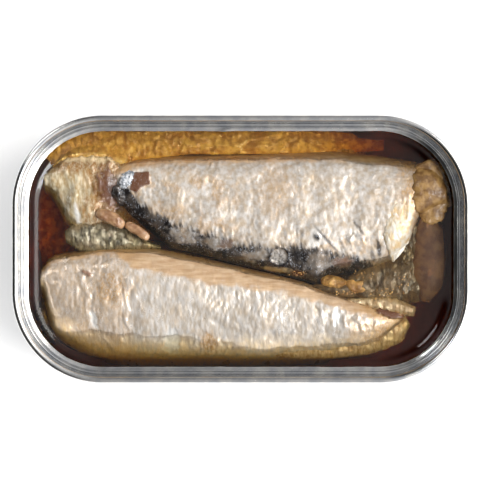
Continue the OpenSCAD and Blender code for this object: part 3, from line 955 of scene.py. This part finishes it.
def back_skin(x, y):
    """The back sardine's wrinkle heights and masks."""
    from_top = inside_y / 100 * smooth_at(BACK_ROWS, 2, x * 100 / inside_x) - y
    tan = step(from_top + 0.5 * rough(x / 3, y / 1.5, 51), 2.9, 1.3)
    brush = 1.1 * noise(x / 0.5 + y / 3, y / 3.6, 52) + 0.8 * rough(x / 3, y / 3, 53)
    dark = step(below_path(x, y, DARK_EDGE) + brush, -0.7, 0.9) * (1 - 0.55 * stains(x, y, GLINTS_IN_DARK))
    bare_flesh = bare(x, y, BARE_FLESH, 60, 0.08)
    triangle = bare(x, y, BARE_TRIANGLE, 64)
    # The holes are pressed in and painted dark, as painted shade inside them.
    hole = stain(x, y, (-29.5, 12.6), (1.6, 2.6), 20, 61, 0.4, 0.3)
    pin_hole = stain(x, y, (17.9, 2.8), (0.5, 0.75), 30, 65, 0.2, 0.3)
    eye = stain(x, y, (9, -1.8), (1.9, 1.8), 0, 62, 0.1, 0.12)
    eye_ring = stain(x, y, (9, -1.9), (2.7, 2.6), 0, 63, 0.15, 0.15) - eye
    cream = stain(x, y, (8.6, -4.9), (3.4, 0.7), -6, 66, 0.3, 0.3)
    brown = np.maximum(bare_flesh, stains(x, y, BACK_BROWN))
    dark = dark * (1 - 0.6 * eye) * (1 - triangle) * (1 - cream) * (1 - brown)
    # Dark lines along folds in the lower half are painted shade, drawn without relief of their own.
    fold_shade = step(creases(x, y, -14, 2.4, 6, 39), -0.1, -0.6) * step(y, 7, 3) * step(x, 4, 12)
    spots = eye * step(rough(x / 0.55, y / 0.55, 42), 0.05, 0.35)
    lines = np.maximum(stains(x, y, DARK_LINES), 0.4 * fold_shade)
    dark = np.maximum.reduce([dark, lines, hole, pin_hole, eye_ring, 0.35 * eye, 0.75 * spots,
                              0.25 * bare_flesh, 0.5 * stain(x, y, *BROWN_HOLE)])
    pale = np.maximum.reduce([0.4 * eye, 0.6 * triangle, 0.6 * cream, stains(x, y, BACK_PALE)])
    low_gold = step(y, 5, 1) * step(x, 6, 14) * step(rough(x / 2, y / 3, 38), -0.2, 0.4)
    gold = np.maximum.reduce([0.5 * step(x, 4, -4) * step(rough(x / 3.5, y / 3.5, 75), -0.1, 0.5),
                              0.8 * step(x + 2.4 * rough(x / 3, y / 3, 76), 35, 40.5),
                              0.4 * stain(x, y, (8, 14), (4, 6), 0, 77, 0.6, 0.6),
                              0.45 * low_gold])
    torn_down = 0.16 * bare_flesh + 0.9 * hole + 0.6 * pin_hole + 0.25 * eye_ring
    wrinkles = back_wrinkles(x, y) + 0.2 * eye - torn_down
    return wrinkles, skin_masks(x, tan=tan, gold=gold, dark=dark, brown=brown, pale=pale)


back_fish = build_fish("back_sardine", back, back_skin)

# %% [markdown]
# ## The sardines below
# Two more fish carry the upper ones. One shows at the upper left and as a golden strip along the back wall,
# the other at the right end, both mostly under oil. Little of them shows, so they get fewer points, but they
# are whole fish all the same: the oil would show any gap.

# %% Lower sardines
# These pale streaks are painted highlights on the lower back sardine.
LOWER_HIGHLIGHTS = [(1, (-38.6, 8), (0.6, 2.4), 10, 82, 0.3, 0.4),
                (0.8, (-41.2, 7), (0.4, 2), 12, 80, 0.3, 0.4)]
LOWER_DARK = [(0.75, (-37.5, 2.6), (4, 2.2), 0, 84, 0.5, 0.5),
              (0.5, (-40.6, 11.5), (0.8, 4), -16, 81, 0.3, 0.5),
              (0.6, (-30.4, 15), (1.4, 2.4), 10, 78, 0.5, 0.5)]


def under_back_skin(x, y):
    """The lower back sardine's wrinkle heights and masks."""
    from_left = step(x + 2 * rough(x / 2, y / 4, 83), -38.5, -34)
    gold = np.maximum(from_left, step(y + rough(x / 2, y / 2, 89), 16.5, 19.5))
    sunk = step(y + 0.6 * rough(x / 2, y / 2, 79), 20, 21.2)
    # A pressed-in spot painted brown and a little dark: brown flesh with painted shade in it.
    shaded_hollow = stain(x, y, (-31, 14), (2.6, 5), 14, 88, 0.45, 0.4)
    dark = np.maximum(stains(x, y, LOWER_DARK), 0.2 * shaded_hollow)
    wrinkles = 0.16 * creases(x, y, -14, 1.3, 5, 85) + 0.06 * creases(x, y, 60, 0.9, 2, 86)
    wrinkles = wrinkles + 0.3 * rough(x / 4, y / 4, 87) - 0.7 * shaded_hollow
    return wrinkles, skin_masks(x, gold=gold * (1 - sunk), dark=dark, brown=shaded_hollow,
                                pale=stains(x, y, LOWER_HIGHLIGHTS), belly=sunk)


def under_front_skin(x, y):
    """The lower front sardine's wrinkle heights and masks."""
    gold = step(rough(x / 2.5, y / 2.5, 91), -0.3, 0.3)
    dark = 0.35 + 0.45 * step(x + 2 * rough(x / 3, y / 3, 92), 36, 28)
    wrinkles = 0.12 * creases(x, y, 10, 1.2, 2.5, 93) + 0.2 * rough(x / 4, y / 4, 94)
    return wrinkles, skin_masks(x, gold=gold, dark=dark)


back_under = build_fish("under_back_sardine", under_back, under_back_skin, 0.35, 110, 12, 1.0)
front_under = build_fish("under_front_sardine", under_front, under_front_skin, 0.5, 70, 12, 1.0)

# %% [markdown]
# ## Sardine skin
# The silver in fish skin is a layer of tiny mirrors over pale flesh, so the finish is part metal. Oil lies
# over everything as a clear coat. Blotches, streaks and the stored masks move the colour between silver,
# tan, gold, brown and the blue-black of the back. The pale mask also lays painted highlights, the dark mask
# lays painted shade in holes and folds, and lighter specks in the dark are painted glints.

# %% Skin finish
OIL_IOR = 1.47


def fish_skin(name, silver, beige, golden=srgb(190, 140, 66), shininess=0.45, grain=(1.5, 0.45, 1),
              relief=0.11, roughness=0.2):
    """Skin from beige to silver, with the masks laid over it one after the other."""
    finish = Finish(name)
    place = finish.place()
    blotch = finish.noise(place, 0.28, 4)
    streak = finish.noise(finish.stretch(place, *grain), 1.0, 4)
    speck = finish.noise(finish.stretch(place, 1.5, 0.8, 1), 2.2, 3)
    fibre = finish.noise(finish.stretch(place, 0.22, 1.5, 1), 1.0, 4)
    scales = finish.cells(finish.stretch(place, 1.0, 0.55, 1), 1.6)
    tone = finish.blend(streak.between(0.3, 0.7), beige, silver)
    tone = finish.blend(blotch.between(0.45, 0.75) * 0.4, tone, srgb(212, 184, 148))
    tan = finish.blend(fibre.between(0.35, 0.65), srgb(183, 145, 104), srgb(204, 172, 134))
    night = finish.blend(blotch.between(0.42, 0.62), srgb(36, 32, 32), srgb(92, 84, 78))
    glint = speck.between(0.52, 0.66) * streak.between(0.4, 0.6)
    night = finish.blend(glint, night, srgb(160, 164, 172))
    golden_share = finish.mask("gold") * (0.4 + 0.5 * speck.between(0.35, 0.65))
    for share, colour in [(finish.mask("tan") * 0.9, tan),
                          (finish.mask("belly") * streak.between(0.3, 0.6), srgb(232, 206, 162)),
                          (golden_share, golden),
                          (finish.mask("pale") * 0.85, srgb(244, 242, 238)),
                          (finish.mask("brown"), srgb(108, 64, 34)),
                          (finish.mask("dark"), night)]:
        tone = finish.blend(share, tone, colour)
    unworn = (1 - 0.8 * finish.mask("tan")) * (1 - finish.mask("brown"))
    silver_left = unworn * (1 - 0.8 * finish.mask("belly"))
    bumps = finish.bump(speck * 0.5 + streak * 0.5 + scales * 0.2, relief * MM, 0.6)
    return finish.surface(
        Base_Color=tone, Metallic=shininess * silver_left, Roughness=roughness + blotch * 0.2,
        Coat_Weight=0.4, Coat_Roughness=0.08, Coat_IOR=OIL_IOR, Normal=bumps)


pale_skin = fish_skin("front_sardine_skin", srgb(234, 228, 222), srgb(208, 194, 176))
broad_skin = fish_skin("back_sardine_skin", srgb(222, 216, 210), srgb(192, 176, 156), grain=(0.9, 0.8, 1),
                       relief=0.08, roughness=0.27)
lower_skin = fish_skin("lower_sardine_skin", srgb(222, 212, 184), srgb(174, 146, 100),
                       golden=srgb(138, 90, 24), shininess=0.12)
finish_piece(front_fish, pale_skin, "front_skin", ["sardine_front"])
finish_piece(back_fish, broad_skin, "back_skin", ["sardine_back"])
finish_piece(back_under, lower_skin, "under_skin", ["sardine_under_back"])
finish_piece(front_under, lower_skin, "under_skin", ["sardine_under_front"])

# %% [markdown]
# ## Strips, lumps and the belly lobe
# Small pieces of flesh are rounded lumps. A sculpted ball would do, but a globe that is stretched to size,
# squared off a little and made uneven is quicker and always closed. The strips at the left are pink, the
# lumps at the right are golden, and the belly lobe is a smooth brown dome. Lumps and lobe end just under the
# oil, because flesh that pokes through it would draw a ring round itself.

# %% Lumps
def lump_grid(middle, half, turn, seed, rows=60, columns=70, squareness=0.8, uneven=0.12, bend=0.0):
    """A closed grid of points round a globe with the given half sizes, squared off and made uneven."""
    down, round_it = np.meshgrid(np.linspace(0, np.pi, rows),
                                 np.linspace(0, 2 * np.pi, columns, endpoint=False), indexing="ij")

    def square(share):
        return np.sign(share) * np.abs(share) ** squareness

    x, y, z = np.cos(down), np.sin(down) * np.cos(round_it), np.sin(down) * np.sin(round_it)
    x, y, z = square(x), square(y), square(z)
    swell = 1 + uneven * rough(x * half[0] / 1.6 + z, y * half[1] / 1.2 + seed, seed)
    x, y, z = x * half[0], y * half[1] * swell, z * half[2] * swell
    y = y + bend * (1 - (x / half[0]) ** 2)
    angle = math.radians(turn)
    return np.stack([middle[0] + x * math.cos(angle) - y * math.sin(angle),
                     middle[1] + x * math.sin(angle) + y * math.cos(angle), middle[2] + z], axis=-1)


def join_grids(name, *grids):
    """One mesh from several closed grids."""
    points, faces, count = [], [], 0
    for grid in grids:
        rows, columns = grid.shape[:2]
        faces += (grid_faces(rows, columns, False, True) + count).tolist()
        points.append(grid.reshape(-1, 3))
        count += rows * columns
    return closed_piece(name, np.concatenate(points), faces)


def node_lump(name, node, turn, seed, half, top=None, **more):
    """A lump that fills the middle of a CAD node's box, up to the given height if there is one."""
    low, high = box_mm(node)
    high[2] = top or high[2]
    return join_grids(name, lump_grid((low + high) / 2, (*half, (high[2] - low[2]) / 2), turn, seed, **more))


lump_top, lobe_top = oil_z - 0.1, oil_z - 0.4
lump_shape = {"squareness": 0.75, "uneven": 0.14}
long_strip = node_lump("long_strip", "flesh_strip_long", -25, 3, (3.7, 1.45), bend=0.5, squareness=0.7)
short_strip = node_lump("short_strip", "flesh_strip_short", -33, 4, (3.3, 1.1), bend=0.2, squareness=0.6)
left_lump = node_lump("left_lump", "flesh_lump_left", -12, 5, (3.2, 1.6), lump_top, **lump_shape)
right_lump = node_lump("right_lump", "flesh_lump_right", -10, 6, (2.8, 1.6), lump_top, **lump_shape)
lobe = node_lump("lobe", "belly_lobe", 90, 7, (8.8, 3.3), lobe_top, squareness=0.5, uneven=0.03, bend=-0.4)

# %% [markdown]
# ## Finish of cooked flesh
# Cooked flesh is matt and fibrous, with a wet coat of oil. Two tones drift into each other in clouds, fibres
# darken them here and there, and a bump of fibres and pores breaks up the highlights. One function makes
# all the flesh, so that the pieces look like parts of the same fish.

# %% Flesh finish
def flesh(name, light, dark, roughness=0.35, grain=(2.2, 0.7, 1), coat=0.6):
    """Fibrous flesh in a light and a dark tone, under a coat of oil."""
    finish = Finish(name)
    place = finish.place()
    fibre = finish.noise(finish.stretch(place, *grain), 1.0, 4)
    cloud = finish.noise(place, 0.5, 3)
    pores = finish.noise(place, 3.5, 3)
    tone = finish.blend(cloud.between(0.35, 0.65), dark, light)
    tone = finish.blend(fibre.between(0.55, 0.72) * 0.5, tone, dark)
    return finish.surface(Base_Color=tone, Roughness=roughness + cloud * 0.15, Coat_Weight=coat,
                          Coat_Roughness=0.1, Coat_IOR=OIL_IOR,
                          Normal=finish.bump(pores * 0.5 + fibre * 0.5, 0.12 * MM, 0.7))


pink_flesh = flesh("pink_flesh", srgb(180, 142, 104), srgb(138, 98, 66), grain=(0.6, 2.2, 1))
gold_flesh = flesh("golden_flesh", srgb(232, 184, 106), srgb(170, 120, 58), coat=0.2)
lobe_flesh = flesh("lobe_flesh", srgb(126, 84, 52), srgb(98, 62, 36), 0.5, coat=0.1)
finish_piece(long_strip, pink_flesh, "flesh", ["flesh_strip_long"])
finish_piece(short_strip, pink_flesh, "flesh", ["flesh_strip_short"])
finish_piece(left_lump, gold_flesh, "golden_flesh", ["flesh_lump_left"])
finish_piece(right_lump, gold_flesh, "golden_flesh", ["flesh_lump_right"])
finish_piece(lobe, lobe_flesh, "brown_flesh", ["belly_lobe"])

# %% [markdown]
# ## Thin sheets of skin
# Skin tears off in thin flaps. Each is a sheet whose spine and half width are given at a few places from
# one tip to the other. It follows whatever lies under it and ends in a ragged edge. A cloth simulation
# could drape it, but a formula is quicker and gives the same sheet every time.

# %% Thin sheets
def lie_on(x, y):
    """The height of the highest thing at each place: a fish or the oil."""
    return np.maximum.reduce([fish.top(x, y) for fish in (front, back, under_back, under_front)]
                             + [oil_z - 0.1 + 0 * x])


def sheet_grid(spine, lift, seed, thickness=0.3, ragged=0.06, wrinkle=0.25, rows=110, columns=70,
               base=lie_on, droop=0.0, fold=1.3):
    """spine is a list of (x, y, half width) from one tip to the other. lift is height added along it, droop
    is how far the edges hang down, and fold is the size of its folds."""
    spine = np.array(spine, float)
    stops = np.linspace(0, 1, len(spine))
    along = np.linspace(0, 1, rows)[:, None]
    middle_x, middle_y, half = (np.interp(along, stops, spine[:, k]) for k in range(3))
    run_x, run_y = np.gradient(middle_x[:, 0])[:, None], np.gradient(middle_y[:, 0])[:, None]
    length = np.hypot(run_x, run_y)
    across = np.linspace(-1, 1, columns)[None, :]
    half = half * (1 + ragged * rough(along * 14 + 3 * np.sign(across), 0 * across + seed, seed))
    x = middle_x - run_y / length * half * across + ragged * rough(across * 3, along * 2, seed + 2)
    y = middle_y + run_x / length * half * across + ragged * rough(across * 3, along * 2, seed + 3)
    tips = np.minimum(step(along, 0, 0.04), step(along, 1, 0.96))
    body = thickness * (1 - np.abs(across) ** 6) * tips
    height = base(x, y) + np.interp(along, np.linspace(0, 1, len(lift)), lift) - droop * across ** 2
    height = height + wrinkle * rough(x / fold, y / (1.5 * fold), seed)
    top = np.stack([x, y, height + body], axis=-1)
    under = np.stack([x, y, height - 0.02 + 0 * body], axis=-1)[:, ::-1]
    return np.concatenate([top, under], axis=1)


def under_oil(x, y):
    """The oil's level, for sheets that lie below it."""
    return oil_z + 0 * x


def over_flank(x, y):
    """Just above the lower back sardine's flank, but below the oil's surface."""
    return np.clip(under_back.top(x, y) + 0.3, oil_z - 1.6, oil_z - 0.35)


flap = join_grids("bright_flap", sheet_grid(
    [(38.0, 11, 2.2), (37.4, 8, 3.4), (37, 5, 3.4), (36.6, 2, 3), (36.2, -0.6, 1.7), (35.8, -3, 0.2)],
    [-0.25, -0.1, 0.15, 0.4], 111, 0.25, 0.12, 0.05))
collar = join_grids("golden_collar", sheet_grid(
    [(43.2, 20.6, 2.2), (44.0, 18.6, 3.6), (44.6, 15, 4.3), (45, 11, 4.3), (44.6, 8, 3.4), (43.8, 6, 1.2)],
    [0.5, 0.6, 0.6, 0.3], 121, 0.3, 0.12, 0.1, droop=0.5, fold=1.8))
flake = join_grids("silver_flake", sheet_grid(
    [(-27.8, 14.2, 0.5), (-27.4, 15.4, 1.2), (-26.7, 17, 1.4), (-26, 18.6, 0.9)],
    [0.15, 0.3, 0.2], 131, 0.15, 0.3, 0.1))

# %% [markdown]
# ## Sheets under the oil
# Most loose skin lies just under the oil: a golden strip along the back wall, an olive patch and a brown one
# at the right, and a tail of skin beside the front sardine. A golden sheet also lies deep by the left wall
# and tints the deep oil there. Under the surface the oil smooths and warms them, so they need little relief.
# Their heights count down from the oil's level.

# %% Sunk sheets
tail_skin = join_grids(
    "tail_skin",
    sheet_grid([(6, -24.6, 0.9), (14, -23.8, 2.6), (24, -22.4, 3.4), (31, -20.6, 4), (36.5, -18.4, 3.8),
                (39.3, -16.8, 1.4)], [-1.6, -1.0, -0.8, -0.8, -1.4], 151, ragged=0.05, base=under_oil,
               droop=1.0, fold=2.4),
    sheet_grid([(25, -12.2, 0.5), (31, -12.9, 1.6), (36, -13.7, 2.1), (41, -14.8, 1.1)], [-0.5, -0.35, -0.7],
               153, 0.4, 0.1, 0.15, base=under_oil, droop=0.5, fold=2))
sunk_skin = join_grids(
    "sunk_skin",
    sheet_grid([(17, -9, 0.6), (24, -9.6, 2), (30, -8.6, 4.4), (35, -8, 5.6), (39.5, -7.4, 6),
                (43.4, -8, 4.4)], [-0.9, -0.7, -0.7, -0.7, -1.2], 152, rows=140, columns=110,
               base=under_oil, droop=0.9, fold=2.6),
    sheet_grid([(40.4, 7, 0.8), (40.4, 3.4, 2.4), (39.8, 0, 3.6), (39, -4, 3.4)], [-0.9, -1.0, -1.2], 154,
               wrinkle=0.2, base=under_oil, droop=0.6, fold=2))
# A sheet in the gap between the fish at the left: loose skin in a dark tone, painted shade between the fish.
gap_shade_skin = join_grids("gap_shade_skin", sheet_grid(
    [(-41.4, 2.8, 1.4), (-38.5, 3.2, 3.6), (-34, 3.0, 3.8), (-29, 2.4, 3), (-24, 1.2, 1.6), (-19, 0.4, 0.4)],
    [-0.6, -0.2, -0.4, -1.4], 172, base=under_oil, droop=0.6, fold=1.8))
gold_skin = join_grids(
    "gold_skin",
    sheet_grid([(-45, 20.2, 1.6), (-41, 23.2, 3.2), (-36, 24.8, 3.9), (-29, 24.3, 4.4), (-20, 24.8, 3.4),
                (-12, 25.3, 2.9), (6, 25.3, 2.9), (20, 25.3, 2.8), (34, 25.0, 1.6)],
               [0, 0, 0, -0.1, -0.1, 0, -0.2, -1.4, -8], 171, wrinkle=0.3, rows=280, columns=80,
               base=over_flank, droop=0.1),
    # This golden sheet lies 11 to 12 mm under the oil by the left wall and tints the deep oil there.
    sheet_grid([(-47, 17, 1), (-46.6, 11, 3), (-45.4, 5, 4.4), (-44.6, 0, 4.4), (-45, -5, 2)],
               [-12, -11.5, -11, -12], 173, ragged=0.2, wrinkle=0.3, rows=60, columns=40, base=under_oil,
               droop=1))
sunk_flesh = join_grids("sunk_flesh", sheet_grid(
    [(43.6, 8, 1.2), (44.2, 4, 3.4), (44.4, -2, 3.8), (44.2, -8, 3.6), (43.4, -12.4, 1.2)],
    [-0.5, -0.4, -0.4, -1.0], 161, 0.4, wrinkle=0.06, base=under_oil, droop=0.7, fold=3))

# %% [markdown]
# ## Crumbs
# Small crumbs of flesh lie and float between the fish at the right. Modelling each one would be tiring, and
# nobody looks at a single crumb, so a seeded draw strews tiny lumps inside a few ellipses.

# %% Crumbs
CRUMB_COUNT, CRUMB_SIZE, CRUMB_SEED = 110, 0.15, 141
CRUMB_PLACES = [(38, -8.4, 2.4, 2.2), (13.5, -5.7, 2.2, 0.6), (33, -10.5, 2.6, 1.2), (29, -6, 2.4, 1),
                (24, -10.4, 3, 0.5)]  # middle and half sizes


def crumb_grids():
    """One small uneven lump after another, each drawn inside its ellipse."""
    picks = np.random.default_rng(CRUMB_SEED)
    for k in range(CRUMB_COUNT):
        x, y, spread_x, spread_y = CRUMB_PLACES[k % len(CRUMB_PLACES)]
        x, y = x + spread_x * picks.uniform(-1, 1), y + spread_y * picks.uniform(-1, 1)
        half = CRUMB_SIZE * picks.uniform(0.5, 1.4)
        z = float(lie_on(np.array([x]), np.array([y]))[0]) + 0.2 * half
        yield lump_grid((x, y, z), (half, half * 0.8, half * 0.45), picks.uniform(0, 180), k, 12, 14)


crumbs = join_grids("crumbs", *crumb_grids())

# %% [markdown]
# ## Finishes of the loose skin
# The bright flap and the silver flake have finishes of their own, because they lie on top and catch the
# light. All other loose skin shares the fish skin or the flesh finish, each piece in two tones of its own.

# %% Finishes of the sheets
flap_finish = Finish("bright_flap_skin")
wrinkle = flap_finish.noise(flap_finish.stretch(flap_finish.place(), 1.2, 0.5, 1), 1.0, 4)
golden = flap_finish.noise(flap_finish.place(), 0.32, 2)
flap_tone = flap_finish.blend(wrinkle.between(0.35, 0.6), srgb(192, 172, 138), srgb(212, 204, 190))
flap_tone = flap_finish.blend(golden.between(0.5, 0.62) * 0.5, flap_tone, srgb(210, 170, 106))
flap_skin = flap_finish.surface(
    Base_Color=flap_tone, Metallic=0.3, Roughness=0.35 + wrinkle * 0.2, Coat_Weight=0.5, Coat_Roughness=0.15,
    Normal=flap_finish.bump(wrinkle, 0.08 * MM))

flake_finish = Finish("loose_silver")
speckle = flake_finish.noise(flake_finish.place(), 1.6, 3)
flake_tone = flake_finish.blend(speckle.between(0.4, 0.6), srgb(150, 158, 168), srgb(244, 246, 250))
flake_skin = flake_finish.surface(
    Base_Color=flake_tone, Metallic=0.6, Roughness=0.25 + speckle * 0.2,
    Normal=flake_finish.bump(speckle, 0.2 * MM))

collar_skin = flesh("collar_skin", srgb(172, 134, 80), srgb(116, 82, 42), 0.4, (1.2, 0.5, 1), 0.3)
olive = fish_skin("sunk_skin_tone", srgb(124, 98, 62), srgb(70, 52, 32), shininess=0.1)
cream = fish_skin("tail_skin_tone", srgb(236, 214, 172), srgb(188, 150, 100), shininess=0.2)
gap_shade_tone = fish_skin("gap_shade_skin_tone", srgb(188, 178, 150), srgb(84, 74, 56), shininess=0.3)
bright_gold = flesh("gold_skin_tone", srgb(255, 214, 120), srgb(206, 152, 72), 0.25, (1.4, 0.8, 1))
brown = flesh("sunk_flesh_tone", srgb(146, 104, 66), srgb(112, 74, 46), 0.6, coat=0.05)
for piece, material, slot in [
        (flap, flap_skin, "back_skin"), (collar, collar_skin, "back_skin"), (sunk_skin, olive, "under_skin"),
        (tail_skin, cream, "front_skin"), (gap_shade_skin, gap_shade_tone, "under_skin"),
        (gold_skin, bright_gold, "under_skin"), (sunk_flesh, brown, "brown_flesh"),
        (flake, flake_skin, "back_skin"), (crumbs, gold_flesh, "golden_flesh")]:
    finish_piece(piece, material, slot)

# %% [markdown]
# ## Oil that you can look into
# The oil is one closed body, so light bends at its surface and is filtered on its way down and back up:
# thin oil looks golden, deep oil looks brown. It reaches a little into the can wall, which leaves no gap.
# Its surface climbs towards the wall, except beside the belly lobe, and a little towards the fish, and that
# slope catches a bright band of reflection.

# %% Shape of the oil
OIL_STEP = 0.5
OIL_COLUMNS = 120
WALL_CLIMB, FISH_CLIMB = 0.5, 0.1


def wall_reach(x, corner, length, width):
    """Half the width of a rounded rectangle at each x."""
    past = np.maximum(np.abs(x) - (length - corner), 0)
    return width - corner + np.sqrt(np.maximum(corner ** 2 - past ** 2, 0))


def from_wall(x, y):
    """Distance to the can's inner wall."""
    corner = CORNER - can_inside
    dx, dy = np.abs(x) - (inside_x - corner), np.abs(y) - (inside_y - corner)
    outside = np.hypot(np.maximum(dx, 0), np.maximum(dy, 0)) + np.minimum(np.maximum(dx, dy), 0)
    return np.maximum(corner - outside, 0)


def oil_surface(x, y):
    """The height of the oil's surface."""
    beside_lobe = step(x, 38, 42) * step(np.abs(y + 1.5), 13, 9)
    height = oil_z + 0.04 * rough(x / 9, y / 9, 101)
    height = height + WALL_CLIMB * step(from_wall(x, y), 4.9, 3.2) * (1 - beside_lobe)
    for fish in (front, back, under_back):
        sunk = np.maximum(oil_z - fish.top(x, y), 0)
        height = height + FISH_CLIMB * np.exp(-sunk / 0.5)
    return height


def build_oil():
    """A closed body from the oil's surface down to the can's floor."""
    into_wall = can_inside - CAN_GAUGE / 2
    corner, length, width = CORNER - into_wall, half_length - into_wall, half_width - into_wall
    x = np.arange(-length, length + OIL_STEP / 2, 2 * length / round(2 * length / OIL_STEP))[:, None]
    share = np.linspace(1, -1, OIL_COLUMNS)[None, :]
    reach = wall_reach(x, corner, length, width)
    y = reach * share
    top = np.stack([x + 0 * y, y, oil_surface(x, y)], axis=-1)
    floor = np.stack([x + 0 * reach, -reach, 0 * reach + CAN_GAUGE / 2], axis=-1)
    far_floor = floor * np.array([1, -1, 1])
    grid = np.concatenate([top, floor, far_floor], axis=1)
    return closed_piece("oil_body", grid, tube_faces(*grid.shape[:2]))


oil = build_oil()

# %% [markdown]
# ## Golden oil
# A glass-like shader bends light with the refractive index of oil. The colour isn't on the surface but in
# the volume: absorption takes blue away first and then green, so the depth alone makes the colour. A hint
# of ripple keeps the reflections from looking like glass.

# %% Golden oil
ABSORBED_TINT, ABSORBED_PER_METRE = (0.903, 0.706, 0.0), 340.0
oil_finish = Finish("golden_oil")
ripple = oil_finish.noise(oil_finish.place(), 0.25, 3)
oil_look = oil_finish.surface(
    Base_Color=(1, 1, 1), Transmission_Weight=1.0, IOR=OIL_IOR, Specular_IOR_Level=0.4,
    Roughness=0.015 + ripple * 0.03, Normal=oil_finish.bump(ripple, 0.1 * MM, 0.3))
tint = oil_finish.add("VolumeAbsorption", None, {"Color": ABSORBED_TINT, "Density": ABSORBED_PER_METRE})
oil_finish.tree.links.new(tint.socket, oil_finish.output.inputs["Volume"])
finish_piece(oil, oil_look, "oil", ["oil"])

# %% [markdown]
# The dressed tin must fill the same box as the CAD tin.
